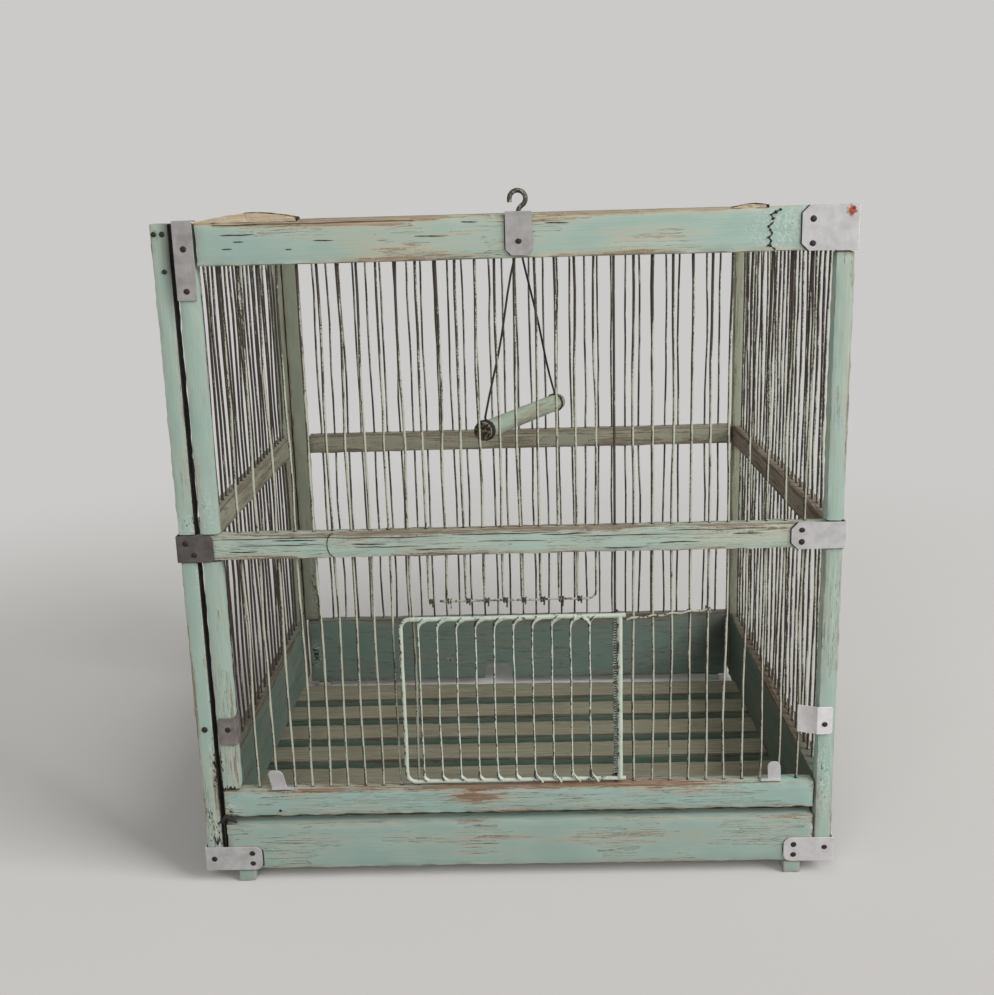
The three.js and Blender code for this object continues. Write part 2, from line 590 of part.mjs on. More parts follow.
// A corner plate on the right: its free end points to the left.
function rightPlate(name, width, z, corner = PLATE_CORNER, nailZ = z) {
  const end = RIGHT - width;
  addPiece(name, join([
    plate([end, tinRight], z, leftEnd(corner)),
    rightLeg(z),
    nailPair(end + NAIL_INSET, nailZ),
  ]), tin);
}
const topPlateZ = [TOP_RAIL_BOTTOM, FRONT_TOP];
const topNailZ = [TOP_RAIL_BOTTOM, FRAME_TOP];
const midPlateZ = [MID_RAIL_BOTTOM, MID_RAIL_TOP];
const lowPlateZ = [BASE + LOW_PLATE_UP, BASE + LOW_PLATE_UP + LOW_PLATE_HEIGHT];
rightPlate('plate_top_right', TOP_PLATE_WIDTH, topPlateZ, TOP_PLATE_CORNER, topNailZ);
rightPlate('plate_mid_right', MID_PLATE_RIGHT_WIDTH, midPlateZ);
rightPlate('plate_bottom_right', LOW_PLATE_RIGHT_WIDTH, lowPlateZ);

const midLeftX = [tinLeft, LEFT + MID_PLATE_LEFT_WIDTH];
addPiece('plate_mid_left', join([
  plate(midLeftX, midPlateZ, rightEnd(PLATE_CORNER / 2)),
  leftLeg(midPlateZ),
  nail(LEFT + POST_NAIL, MID_RAIL_TOP - NAIL_EDGE),
  nail(LEFT + 2 * POST_NAIL, MID_RAIL_BOTTOM + NAIL_EDGE),
]), agedTin);

const lowLeftX = [tinLeft, LEFT + LOW_PLATE_LEFT_WIDTH];
addPiece('plate_bottom_left', join([
  plate(lowLeftX, lowPlateZ, rightEnd(PLATE_CORNER)),
  leftLeg(lowPlateZ),
  nail(LEFT + POST_NAIL, (lowPlateZ[0] + lowPlateZ[1]) / 2),
  nailPair(lowLeftX[1] - NAIL_INSET, lowPlateZ),
]), tin);

// Low angles folded round the inner edges of the front stile and of the right post.
const angleZ = [BASE + BRACKET_UP, BASE + BRACKET_UP + BRACKET_HEIGHT];
const angleNailZ = (angleZ[0] + angleZ[1]) / 2;
const leftFold = [STILE_RIGHT + SEAT, STILE_RIGHT + SEAT + TIN];
const rightFold = [INSIDE_RIGHT - SEAT - TIN, INSIDE_RIGHT - SEAT];
addPiece('angle_left', join([
  plate([leftFold[0] - BRACKET_LEG, leftFold[1]], angleZ, leftEnd(BRACKET_CORNER)),
  box(...leftFold, PLATE_FACE, INSIDE_FRONT, ...angleZ),
  nail(leftFold[0] - BRACKET_LEG / 2, angleNailZ),
]), tin);
addPiece('angle_right', join([
  plate([rightFold[0], rightFold[1] + BRACKET_LEG], angleZ, rightEnd(BRACKET_CORNER)),
  box(...rightFold, PLATE_FACE, INSIDE_FRONT, ...angleZ),
  nail(rightFold[1] + BRACKET_LEG / 2, angleNailZ),
]), tin);

// Two bent tin tabs stand on the front bottom rail, each with a foot lying beside it.
function tab(name, x0, x1, footEnd) {
  const backY = FRONT + TAB_SETBACK + TIN;
  const crown = { highLeft: TAB_CROWN, highRight: TAB_CROWN };
  const standing = frontSheet([x0, x1], [onSill, onSill + TAB_HEIGHT], backY, crown);
  const lying = box(Math.min(x0, footEnd), Math.max(x1, footEnd), FRONT, backY,
    onSill, onSill + TIN);
  addPiece(name, standing.add(lying), tin);
}
const tabLeft = LEFT + TAB_LEFT_IN;
const tabRight = RIGHT - TAB_RIGHT_IN;
tab('tab_left', tabLeft, tabLeft + TAB_LEFT_WIDTH, tabLeft + TAB_LEFT_WIDTH + TAB_FOOT);
tab('tab_right', tabRight - TAB_RIGHT_WIDTH, tabRight, tabRight - TAB_RIGHT_WIDTH - TAB_FOOT);

// ---------- Hanging hook, with the eye for the swing ----------

const turnRadians = THREE.MathUtils.degToRad(SWING_TURN);
const perchAxis = new THREE.Vector3(Math.cos(turnRadians), Math.sin(turnRadians), 0);

function hookShape() {
  const middle = FRAME_TOP + HOOK_NECK;
  const at = (x, z) => new THREE.Vector3(HOOK_X + x, MIDDLE_Y, z);
  const neck = [at(0, FRAME_TOP + LAP), at(0, FRAME_TOP + HOOK_R)];
  const bow = [];
  for (let angle = -35; angle <= 205; angle += 30) {
    const radians = THREE.MathUtils.degToRad(angle);
    bow.push(at(HOOK_BOW * Math.cos(radians), middle + HOOK_BOW * Math.sin(radians)));
  }
  return join([
    rod(at(0, EYE_Z + EYE_R), at(0, FRAME_TOP + 2 * LAP), HOOK_R, ROD_SIDES),
    bentWire(new THREE.CatmullRomCurve3([...neck, ...bow]), HOOK_R, ROD_SIDES, 22),
    ring(EYE_R, HOOK_R, ROD_SIDES, 14, perchAxis, at(0, EYE_Z)),
  ]);
}
addPiece('hanging_hook', hookShape(), hookIron);

// ---------- Swing: a V of wire through the eye, and the perch in its two rings ----------

function alongPerch(offset, z) {
  return new THREE.Vector3(HOOK_X, MIDDLE_Y, z).addScaledVector(perchAxis, offset);
}
const perchZ = PIVOT_Z - SWING_DROP;
const ringOffset = PERCH_LENGTH / 2 - PERCH_END;
const ringR = PERCH_R + SEAT + SWING_WIRE_R;

function swingShape() {
  const arcZ = PIVOT_Z - BIGHT_R;
  const arcPoints = [];
  for (let angle = 180; angle >= 0; angle -= 30) {
    const radians = THREE.MathUtils.degToRad(angle);
    arcPoints.push(alongPerch(BIGHT_R * Math.cos(radians), arcZ + BIGHT_R * Math.sin(radians)));
  }
  const bight = bentWire(new THREE.CatmullRomCurve3(arcPoints), SWING_WIRE_R, 6, 8);
  const sides = [-1, 1].flatMap((side) => [
    rod(alongPerch(side * BIGHT_R, arcZ + LAP / 2), alongPerch(side * ringOffset, perchZ + ringR),
      SWING_WIRE_R, 6),
    ring(ringR, SWING_WIRE_R, 6, 14, perchAxis, alongPerch(side * ringOffset, perchZ)),
  ]);
  return join([bight, ...sides]);
}
addPiece('swing_wire', swingShape(), swingIron);

const perchEnd = PERCH_LENGTH / 2;
addPiece('perch',
  rod(alongPerch(-perchEnd, perchZ), alongPerch(perchEnd, perchZ), PERCH_R, 16), perchPaint);

// ---------- Door: one bent frame wire, its upright wires, the eyes and the sleeve ----------

function doorShape() {
  const at = (x, z) => new THREE.Vector3(x, DOOR_Y, z);
  const bar = (x0, z0, x1, z1) => rod(at(x0, z0), at(x1, z1), DOOR_BAR_R, ROD_SIDES);
  const runStart = DOOR_LEFT + DOOR_CORNER - LAP;
  const parts = [
    bar(DOOR_LEFT, DOOR_BOTTOM + DOOR_CORNER - LAP, DOOR_LEFT, DOOR_TOP - DOOR_CORNER + LAP),
    bar(DOOR_ROD_X, DOOR_BOTTOM, DOOR_ROD_X, DOOR_TOP),
  ];
  for (const [z, inward] of [[DOOR_TOP, -1], [DOOR_BOTTOM, 1]]) {
    const bend = new THREE.QuadraticBezierCurve3(
      at(DOOR_LEFT + DOOR_CORNER, z), at(DOOR_LEFT, z), at(DOOR_LEFT, z + inward * DOOR_CORNER),
    );
    const eyeR = WIRE_R + EYE_RING_CLEARANCE + EYE_RING_R;
    const eyeMiddle = new THREE.Vector3(HINGE_X, FRONT_WIRE_Y, z);
    parts.push(bentWire(bend, DOOR_BAR_R, ROD_SIDES, 6));
    parts.push(bar(runStart, z, HINGE_X + DOOR_TAIL, z));
    parts.push(ring(eyeR, EYE_RING_R, 6, 12, Z, eyeMiddle));
  }
  for (let i = 0; i < DOOR_WIRES; i += 1) {
    const x = DOOR_LEFT + DOOR_FIRST_WIRE + i * DOOR_WIRE_PITCH;
    parts.push(rod(at(x, DOOR_BOTTOM), at(x, DOOR_TOP), WIRE_R, WIRE_SIDES));
  }
  return join(parts);
}
addPiece('door_frame', doorShape(), doorPaint);

function sleeveShape() {
  const low = DOOR_BOTTOM + DOOR_BAR_R + SEAT;
  const high = DOOR_TOP - DOOR_BAR_R - SEAT;
  const profile = [
    new THREE.Vector2(SLEEVE_INNER_R, low),
    new THREE.Vector2(SLEEVE_R, low),
    new THREE.Vector2(SLEEVE_R, high),
    new THREE.Vector2(SLEEVE_INNER_R, high),
    new THREE.Vector2(SLEEVE_INNER_R, low),
  ];
  const geometry = new THREE.LatheGeometry(profile, 12);
  geometry.rotateX(Math.PI / 2);
  return solid(geometry.translate(HINGE_X, FRONT_WIRE_Y, 0));
}
addPiece('door_hinge_sleeve', sleeveShape(), doorPaint);

export default cage;
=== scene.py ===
import bmesh
import bpy
import math
import numpy as np
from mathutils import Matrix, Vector, noise


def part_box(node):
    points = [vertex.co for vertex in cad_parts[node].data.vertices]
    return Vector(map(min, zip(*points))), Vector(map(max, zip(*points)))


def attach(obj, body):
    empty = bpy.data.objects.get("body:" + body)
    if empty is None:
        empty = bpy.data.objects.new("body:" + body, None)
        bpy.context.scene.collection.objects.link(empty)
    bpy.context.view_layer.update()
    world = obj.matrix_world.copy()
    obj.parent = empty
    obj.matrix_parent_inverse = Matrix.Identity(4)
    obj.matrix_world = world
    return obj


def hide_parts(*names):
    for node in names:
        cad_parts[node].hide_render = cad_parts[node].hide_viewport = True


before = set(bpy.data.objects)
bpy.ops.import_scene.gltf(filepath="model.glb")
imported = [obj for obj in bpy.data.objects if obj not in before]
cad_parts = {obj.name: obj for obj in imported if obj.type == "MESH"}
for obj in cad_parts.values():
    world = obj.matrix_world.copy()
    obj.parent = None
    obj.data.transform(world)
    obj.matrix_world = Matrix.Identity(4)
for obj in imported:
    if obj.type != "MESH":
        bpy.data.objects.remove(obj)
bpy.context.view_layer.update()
bpy.ops.object.select_all(action="DESELECT")
MM = 0.001
view = bpy.context.scene.view_settings
view.view_transform = "Standard"

# ---------- Camera, floor and light ----------
# The camera stands where the photograph was taken, a metre in front and level with the top.
# A white sheet lies under the cage, and daylight comes from the right and a little above.

bpy.ops.object.camera_add(location=(0.00952, -0.90385, 0.44440), rotation=(1.32996, 0.02779, 0.01589))
camera = bpy.context.object
camera.data.sensor_width = 36
camera.data.lens = 43.582
camera.data.clip_start = 0.01
bpy.context.scene.camera = camera


def colour(code):
    """sRGB hex to the linear colour that Blender works in."""
    parts = [int(code[i:i + 2], 16) / 255 for i in (1, 3, 5)]
    return (*[p / 12.92 if p <= 0.04045 else ((p + 0.055) / 1.055) ** 2.4 for p in parts], 1.0)


def add(tree, kind, sockets=(), **settings):
    """One shader node, its settings, and its sockets set or linked."""
    new = tree.nodes.new("ShaderNode" + kind)
    for key, value in settings.items():
        setattr(new, key, value)
    for key, value in dict(sockets).items():
        if isinstance(value, bpy.types.NodeSocket):
            tree.links.new(value, new.inputs[key])
        else:
            new.inputs[key].default_value = value
    return new


def new_material(name):
    """An empty material and its node tree."""
    material = bpy.data.materials.new(name)
    material.use_nodes = True
    material.node_tree.nodes.clear()
    return material, material.node_tree


# White-painted board under and behind: it renders pale to the camera and to reflections,
# and takes the cage's soft shadow.
sheet_paint, tree = new_material("white_painted_board")
path = add(tree, "LightPath")
seen = add(tree, "Math", {0: path.outputs["Is Camera Ray"], 1: path.outputs["Is Glossy Ray"]},
           operation="MAXIMUM")
seen = add(tree, "Math", {0: seen.outputs[0], 1: path.outputs["Is Transmission Ray"]}, operation="MAXIMUM")
spot = add(tree, "TexCoord")
away = add(tree, "VectorMath", {0: spot.outputs["Object"]}, operation="LENGTH")
far = add(tree, "MapRange", {"Value": away.outputs["Value"], "From Min": 0.25, "From Max": 1.3},
          interpolation_type="SMOOTHSTEP")
share = add(tree, "Math", {0: seen.outputs[0], 1: far.outputs[0]}, operation="MULTIPLY")
lit = add(tree, "BsdfDiffuse", {"Color": colour("#c8c5c1"), "Roughness": 0.9})
glow = add(tree, "Emission", {"Color": colour("#cbcac8"), "Strength": 1.0})
mixed = add(tree, "MixShader", {0: share.outputs[0], 1: lit.outputs[0], 2: glow.outputs[0]})
add(tree, "OutputMaterial", {"Surface": mixed.outputs[0]})

bpy.ops.mesh.primitive_plane_add(size=14, location=(0, 0, 0))
floor = bpy.context.object
floor.name = "floor_sheet"
floor.data.materials.append(sheet_paint)

# The room gives an even light, and shows as the same pale tone behind the cage.
world = bpy.data.worlds.new("soft_room")
bpy.context.scene.world = world
world.use_nodes = True
tree = world.node_tree
tree.nodes.clear()
path = add(tree, "LightPath")
seen = add(tree, "Math", {0: path.outputs["Is Camera Ray"], 1: path.outputs["Is Transmission Ray"]},
           operation="MAXIMUM")
sky = add(tree, "Background", {"Color": colour("#e4e4e2"), "Strength": 0.52})
wall = add(tree, "Background", {"Color": colour("#cbcac8"), "Strength": 1.0})
mixed = add(tree, "MixShader", {0: seen.outputs[0], 1: sky.outputs[0], 2: wall.outputs[0]})
add(tree, "OutputWorld", {"Surface": mixed.outputs[0]})


def window(name, place, target, width, height, power, tint):
    """A window as a lamp: where it is and looks, in metres, its size, its watts and its tint."""
    bpy.ops.object.light_add(type="AREA", location=place)
    lamp = bpy.context.object
    lamp.name = name
    lamp.data.shape = "RECTANGLE"
    lamp.data.size = width
    lamp.data.size_y = height
    lamp.data.energy = power
    lamp.data.color = colour(tint)[:3]
    lamp.rotation_euler = (Vector(target) - Vector(place)).to_track_quat("-Z", "Y").to_euler()


window("daylight_right", (1.7, -1.0, 1.3), (0, 0, 0.2), 1.3, 1.3, 44, "#fdfdff")
window("daylight_front", (-0.5, -2.2, 1.7), (0, 0, 0.25), 1.6, 1.2, 13, "#f6faff")

# ---------- Corner posts and stiles ----------
# Old square-sawn pine sticks, 12 mm thick, brushed with pale green milk paint. The paint is
# thin over the grain, and it has worn and chipped off along every edge. The left corners
# have two sticks side by side.


def paint_over_wood(name, paint, pale, bare, bark, wear, crack=0.5, rough=0.72):
    """Milk paint on pine: matt, chalky, streaked by the brush, with bare wood where it wore off.

    The pattern follows the piece's own grain attribute, whose X runs along the stick in
    metres. The worn attribute brings the bare wood out, the grime attribute the black
    crackle, and a fourth attribute lays a soft painted shade over it.
    """
    material, tree = new_material(name)
    grain = add(tree, "Attribute", attribute_name="grain")
    worn = add(tree, "Attribute", attribute_name="worn")
    grime = add(tree, "Attribute", attribute_name="grime")
    shade_painted = add(tree, "Attribute", attribute_name="shade_painted")

    # Streaks 30 mm long and 1.6 mm wide, and growth rings as lines 0.7 mm apart: finer
    # ones wouldn't show in the render.
    long_map = add(tree, "Mapping", {"Vector": grain.outputs["Vector"], "Scale": (33, 620, 620)})
    streak = add(tree, "TexNoise", {"Vector": long_map.outputs[0], "Scale": 1.0, "Detail": 5.0,
                                    "Roughness": 0.62, "Distortion": 0.25})
    ring_map = add(tree, "Mapping", {"Vector": grain.outputs["Vector"], "Scale": (26, 1500, 1500)})
    rings = add(tree, "TexNoise", {"Vector": ring_map.outputs[0], "Scale": 1.0, "Detail": 3.0,
                                   "Roughness": 0.55, "Distortion": 0.6})
    # Where the brush left less paint, in places 55 mm long and 17 mm wide.
    patch_map = add(tree, "Mapping", {"Vector": grain.outputs["Vector"], "Scale": (18, 60, 60)})
    patch = add(tree, "TexNoise", {"Vector": patch_map.outputs[0], "Scale": 1.0, "Detail": 3.0,
                                   "Roughness": 0.5})
    # Ragged edges of the chips, 1.5 mm.
    ragged = add(tree, "TexNoise", {"Vector": grain.outputs["Vector"], "Scale": 650.0, "Detail": 3.0,
                                    "Roughness": 0.6})

    # How near the coat is to being gone: the patterns and the wear, each with its weight.
    level = 0.0
    for part, weight in ((streak, 0.62), (rings, 0.22), (patch, 0.42), (ragged, 0.16), (worn, 0.27)):
        level = add(tree, "Math", {0: part.outputs["Fac"], 1: weight, 2: level},
                    operation="MULTIPLY_ADD").outputs[0]
    gone = add(tree, "MapRange", {"Value": level, "From Min": 1.0 - wear, "From Max": 1.035 - wear},
               interpolation_type="SMOOTHSTEP")
    thin = add(tree, "MapRange", {"Value": level, "From Min": 0.80 - wear, "From Max": 1.02 - wear,
                                  "To Max": 0.75})
    # Hair cracks along the grain: a thin band of the ring noise, only where paint is thin.
    band = add(tree, "Math", {0: rings.outputs["Fac"], 1: 0.43, 2: 0.011}, operation="COMPARE")
    bared = add(tree, "Math", {0: patch.outputs["Fac"], 1: 0.60 - 0.12 * crack}, operation="GREATER_THAN")
    hair = add(tree, "Math", {0: band.outputs[0], 1: bared.outputs[0]}, operation="MULTIPLY")
    # Black flecks of old dirt, 4 mm along the grain, gathered where the grime attribute is.
    fleck_map = add(tree, "Mapping", {"Vector": grain.outputs["Vector"], "Scale": (240, 640, 640)})
    flecks = add(tree, "TexNoise", {"Vector": fleck_map.outputs[0], "Scale": 1.0, "Detail": 5.0,
                                    "Roughness": 0.72})
    sparse = add(tree, "Math", {0: grime.outputs["Fac"], 1: -0.26, 2: 0.75}, operation="MULTIPLY_ADD")
    crackle = add(tree, "Math", {0: flecks.outputs["Fac"], 1: sparse.outputs[0]}, operation="GREATER_THAN")
    faint = add(tree, "Math", {0: hair.outputs[0], 1: 0.75}, operation="MULTIPLY")
    dark = add(tree, "Math", {0: faint.outputs[0], 1: crackle.outputs[0]}, operation="MAXIMUM")

    chalk = add(tree, "MapRange", {"Value": patch.outputs["Fac"], "From Min": 0.35, "From Max": 0.68})
    coat = add(tree, "Mix", {0: chalk.outputs[0], 6: colour(paint), 7: colour(pale)}, data_type="RGBA")
    # Where the dirt is, old enamel has crazed into lumps of 1.5 mm, and their pale tops are painted
    # highlights.
    lump = add(tree, "MapRange", {"Value": ragged.outputs["Fac"], "From Min": 0.47, "From Max": 0.60})
    held = add(tree, "Math", {0: grime.outputs["Fac"], 1: 0.8}, operation="MINIMUM")
    painted_lump_highlight = add(tree, "Math", {0: lump.outputs[0], 1: held.outputs[0]}, operation="MULTIPLY")
    coat = add(tree, "Mix", {0: painted_lump_highlight.outputs[0], 6: coat.outputs[2], 7: colour("#d3dcd2")},
               data_type="RGBA")
    rubbed = add(tree, "Mix", {0: thin.outputs[0], 6: coat.outputs[2], 7: colour(bare)}, data_type="RGBA")
    tone = add(tree, "MapRange", {"Value": rings.outputs["Fac"], "From Min": 0.36, "From Max": 0.62})
    timber = add(tree, "Mix", {0: tone.outputs[0], 6: colour(bare), 7: colour(bark)}, data_type="RGBA")
    skin = add(tree, "Mix", {0: gone.outputs[0], 6: rubbed.outputs[2], 7: timber.outputs[2]},
               data_type="RGBA")
    flecked = add(tree, "Mix", {0: dark.outputs[0], 6: skin.outputs[2], 7: colour("#2b2722")},
                  data_type="RGBA")
    # Painted shade: a soft darkening where the piece lies in shadow, beside a plate or low down at the back.
    shade_amount = add(tree, "Math", {0: shade_painted.outputs["Fac"], 1: 0.85}, operation="MULTIPLY")
    final = add(tree, "Mix", {0: shade_amount.outputs[0], 6: flecked.outputs[2], 7: colour("#38372f")},
                data_type="RGBA")

    # The coat stands 0.2 mm over the wood, the brush marks show faintly in it, and the
    # cracks and flecks lie lower.
    marks = add(tree, "Math", {0: rings.outputs["Fac"], 1: 0.55}, operation="MULTIPLY")
    coated = add(tree, "Math", {0: gone.outputs[0], 1: -0.55, 2: marks.outputs[0]}, operation="MULTIPLY_ADD")
    cracked = add(tree, "Math", {0: dark.outputs[0], 1: -0.8, 2: coated.outputs[0]}, operation="MULTIPLY_ADD")
    crust = add(tree, "Math", {0: grime.outputs["Fac"], 1: 1.8, 2: 0.22}, operation="MULTIPLY_ADD")
    height = add(tree, "Math", {0: ragged.outputs["Fac"], 1: crust.outputs[0], 2: cracked.outputs[0]},
                 operation="MULTIPLY_ADD")
    bump = add(tree, "Bump", {"Height": height.outputs[0], "Strength": 0.8, "Distance": 0.0004})
    dull = add(tree, "MapRange", {"Value": gone.outputs[0], "To Min": rough, "To Max": 0.9})
    shader = add(tree, "BsdfPrincipled", {"Base Color": final.outputs[2], "Roughness": dull.outputs[0],
                                          "Normal": bump.outputs[0]})
    shader.inputs["IOR"].default_value = 1.48
    shader.inputs["Specular IOR Level"].default_value = 0.35
    add(tree, "OutputMaterial", {"Surface": shader.outputs[0]})
    return material


# Front sticks: the coat is whole but for edges, streaks and chips. A sea-grey green.
front_green = paint_over_wood("sage_milk_paint_worn", "#9cb3a7", "#afbeb1", "#a9a594", "#7a7163", wear=0.095)
# Sticks at the back: the same green gone brown with dirt.
back_green = paint_over_wood("sage_milk_paint_dirty", "#8f9785", "#a7ac9a", "#989078", "#5e5546", wear=0.15)


def choose(piece):
    """Makes one piece the only one that is selected, and the active one."""
    bpy.ops.object.select_all(action="DESELECT")
    piece.select_set(True)
    bpy.context.view_layer.objects.active = piece


def open_mesh(piece, mode="EDGE"):
    """Edit mode on one piece alone, with nothing selected."""
    choose(piece)
    bpy.ops.object.mode_set(mode="EDIT")
    bpy.ops.mesh.select_mode(type=mode)
    bpy.ops.mesh.select_all(action="DESELECT")


def pick(piece, kind, test):
    """Selects those vertices, edges or faces of the open mesh that pass the test, and no others."""
    bpy.ops.mesh.select_all(action="DESELECT")
    mesh = bmesh.from_edit_mesh(piece.data)
    for part in getattr(mesh, kind):
        if test(part):
            part.select_set(True)
    bmesh.update_edit_mesh(piece.data)


def apply_all(piece):
    """Applies every modifier of one piece, in order."""
    choose(piece)
    for modifier in list(piece.modifiers):
        bpy.ops.object.modifier_apply(modifier=modifier.name)


def points_of(piece, what="co"):
    """The places of a piece's vertices in metres, or their normals, as rows of three."""
    rows = np.empty(len(piece.data.vertices) * 3)
    piece.data.vertices.foreach_get(what, rows)
    return rows.reshape(-1, 3)


def mark(piece, label, values):
    """Stores one value, or one row of three, for each vertex, where the material reads it."""
    kind, field = ("FLOAT", "value") if values.ndim == 1 else ("FLOAT_VECTOR", "vector")
    layer = piece.data.attributes.new(label, kind, "POINT")
    layer.data.foreach_set(field, values.astype(np.float32).ravel())


def block(name, low, high):
    """A cube primitive at its size and place, its object at the origin. Corners in millimetres."""
    bpy.ops.object.select_all(action="DESELECT")
    middle = [(a + b) / 2 * MM for a, b in zip(low, high)]
    bpy.ops.mesh.primitive_cube_add(size=1, location=middle)
    piece = bpy.context.object
    piece.name = name
    piece.data.name = name
    piece.scale = [(b - a) * MM for a, b in zip(low, high)]
    bpy.ops.object.transform_apply(location=True, rotation=True, scale=True)
    return piece


def cut_away(piece, low, high, round_off=0.0):
    """Saws a block out of a piece, with the cutter's long edges rounded if asked."""
    cutter = block("cutter", low, high)
    if round_off:
        open_mesh(cutter)
        pick(cutter, "edges", lambda e: abs((e.verts[0].co - e.verts[1].co).normalized().y) > 0.9
             and e.verts[0].co.z > (low[2] + high[2]) / 2 * MM)
        bpy.ops.mesh.bevel(offset=round_off * MM, segments=5, affect="EDGES")
        bpy.ops.object.mode_set(mode="OBJECT")
    saw = piece.modifiers.new("saw", "BOOLEAN")
    saw.operation = "DIFFERENCE"
    saw.solver = "EXACT"
    saw.object = cutter
    apply_all(piece)
    bpy.data.objects.remove(cutter)


piece_count = 0


def sawn_stick(name, node, material, grain, low=None, high=None, step=4.0, chip=0.9,
               patches=(), soot=(), painted_shade=(), notches=()):
    """A sawn stick: a block with eased edges, cut fine, then chipped and worn by displacement.

    patches, soot and the painted-shade list are lists of (x, y, z, rx, ry, rz, strength) in millimetres:
    where the paint has gone, where it is flecked with black, and where painted shade darkens it softly.
    notches are blocks that are sawn out.
    """
    global piece_count
    piece_count += 1
    if low is None:
        corner_low, corner_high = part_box(node)
        low, high = [c / MM for c in corner_low], [c / MM for c in corner_high]
    piece = block(name, low, high)
    axis = "xyz".index(grain)
    open_mesh(piece)
    bpy.ops.mesh.select_all(action="SELECT")
    bpy.ops.mesh.bevel(offset=0.8 * MM, segments=2, affect="EDGES")
    spans = [high[i] - low[i] for i in range(3)]
    for side in range(3):
        pieces = round(spans[side] / (step if side == axis else 3.2))
        if pieces < 2:
            continue
        pick(piece, "edges", lambda e: abs((e.verts[0].co - e.verts[1].co)[side]) > (spans[side] - 3) * MM)
        bpy.ops.mesh.subdivide(number_cuts=pieces - 1)
    bpy.ops.mesh.select_all(action="SELECT")
    bpy.ops.mesh.normals_make_consistent(inside=False)
    bpy.ops.object.mode_set(mode="OBJECT")

    for cut_low, cut_high, round_off in notches:
        cut_away(piece, cut_low, cut_high, round_off)

    # Vertices on the broken edges are the ones that chip.
    place = points_of(piece) / MM
    near = np.minimum(place - np.array(low), np.array(high) - place)
    edge_near = np.sort(near, axis=1)[:, 1]
    chips = piece.vertex_groups.new(name="edge")
    chips.add([int(i) for i in np.where(edge_near < 1.2)[0]], 1.0, "REPLACE")
    sway = bpy.data.textures.new("sway", "CLOUDS")
    sway.noise_scale = 0.05
    chew = bpy.data.textures.new("chew", "CLOUDS")
    chew.noise_scale = 0.007
    chew.noise_depth = 3
    chew.contrast = 1.9
    for label, texture, strength, group in (("sway", sway, 0.5, ""), ("chew", chew, chip, "edge")):
        wear = piece.modifiers.new(label, "DISPLACE")
        wear.texture = texture
        wear.texture_coords = "LOCAL"
        wear.mid_level = 1.0
        wear.strength = strength * MM
        wear.vertex_group = group
    apply_all(piece)

    order = [axis, (axis + 1) % 3, (axis + 2) % 3]
    shift = np.array([piece_count * 0.731, piece_count * 0.037, piece_count * 0.053])
    along = (place - np.array(low))[:, order] * MM + shift
    worn = 0.75 * np.clip(1 - edge_near / 2.0, 0, 1)
    black, shading = np.zeros(len(place)), np.zeros(len(place))
    # The third list of spots lays painted shade, a soft darkening.
    for spots, mask in ((patches, worn), (soot, black), (painted_shade, shading)):
        for x, y, z, rx, ry, rz, strength in spots:
            reach = np.sqrt((((place - (x, y, z)) / (rx, ry, rz)) ** 2).sum(axis=1))
            mask += strength * np.clip(1.25 - reach, 0, 1)
    for label, values in (("grain", along), ("worn", worn), ("grime", black), ("shade_painted", shading)):
        mark(piece, label, values)
    choose(piece)
    bpy.ops.object.shade_smooth_by_angle(angle=math.radians(50))
    piece.data.materials.append(material)
    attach(piece, "cage")
    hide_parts(node)
    return piece


# The front mid rail is let into the front sticks by half of their thickness.
lap = ((-215, -175, 226.8), (215, -166.9, 244.9), 0)
sawn_stick("post_front_left_worn", "post_front_left", front_green, "z",
           notches=[lap], patches=[(-204, -173, 300, 4, 4, 120, 0.25), (-210, -173, 150, 3, 6, 90, 0.7),
                                   (-200, -173, 76, 3.4, 3, 26, 0.9)],
           # The first soot spot paints the post's side face black down the whole gap to the stile.
           soot=[(-198, -168, 240, 0.75, 11, 700, 6), (-200, -173, 82, 4, 3, 26, 0.8),
                 (-207, -173, 52, 4, 5, 7, 1.0), (-203, -173, 39, 6, 4, 12, 0.85),
                 (-203, -173, 29, 7, 4, 3, 1.2), (-204, -173, 252, 6, 5, 10, 0.6)],
           # Painted shade beside the strap.
           painted_shade=[(-197.5, -173, 418, 7, 7, 42, 1.0)])
sawn_stick("stile_front_left_worn", "stile_front_left", front_green, "z",
           notches=[lap], patches=[(-190, -173, 85, 5, 3, 14, 0.45)],
           soot=[(-196, -173, 92, 1.2, 2, 20, 1.6), (-190, -173, 262, 6, 4, 20, 0.45),
                 (-190, -173, 68.4, 9, 5, 1.2, 1.6), (-190, -173, 88, 6, 3, 18, 0.35)])
sawn_stick("post_front_right_worn", "post_front_right", front_green, "z",
           notches=[lap], patches=[(205, -173, 370, 6, 3, 50, 0.35), (210, -170, 320, 3, 5, 60, 0.6)],
           soot=[(203, -173, 70, 6, 5, 34, 0.6)])
# The back sticks get painted shade low down, inside the cage.
sawn_stick("post_back_left_worn", "post_back_left", back_green, "z",
           soot=[(-200, 163, 90, 8, 6, 30, 0.8)], painted_shade=[(-204, 163, 90, 20, 12, 110, 0.4)])
# The back stile stands close against its post, with no light between.
sawn_stick("stile_back_left_worn", "stile_back_left", back_green, "z",
           low=(-197.9, 162.85, 67.6), high=(-184, 174.85, 435),
           soot=[(-186, 163, 100, 8, 6, 40, 0.8)], painted_shade=[(-190, 163, 90, 20, 12, 110, 0.4)])
sawn_stick("post_back_right_worn", "post_back_right", back_green, "z",
           painted_shade=[(204, 163, 90, 20, 12, 110, 0.4)])

# ---------- Top rails ----------
# Four rails nailed round the top, 24 mm high and the front one 26.5 mm. Its upper edge has lost
# its paint to an orange-tan strip, and a warped splinter of it stands up at the left end.

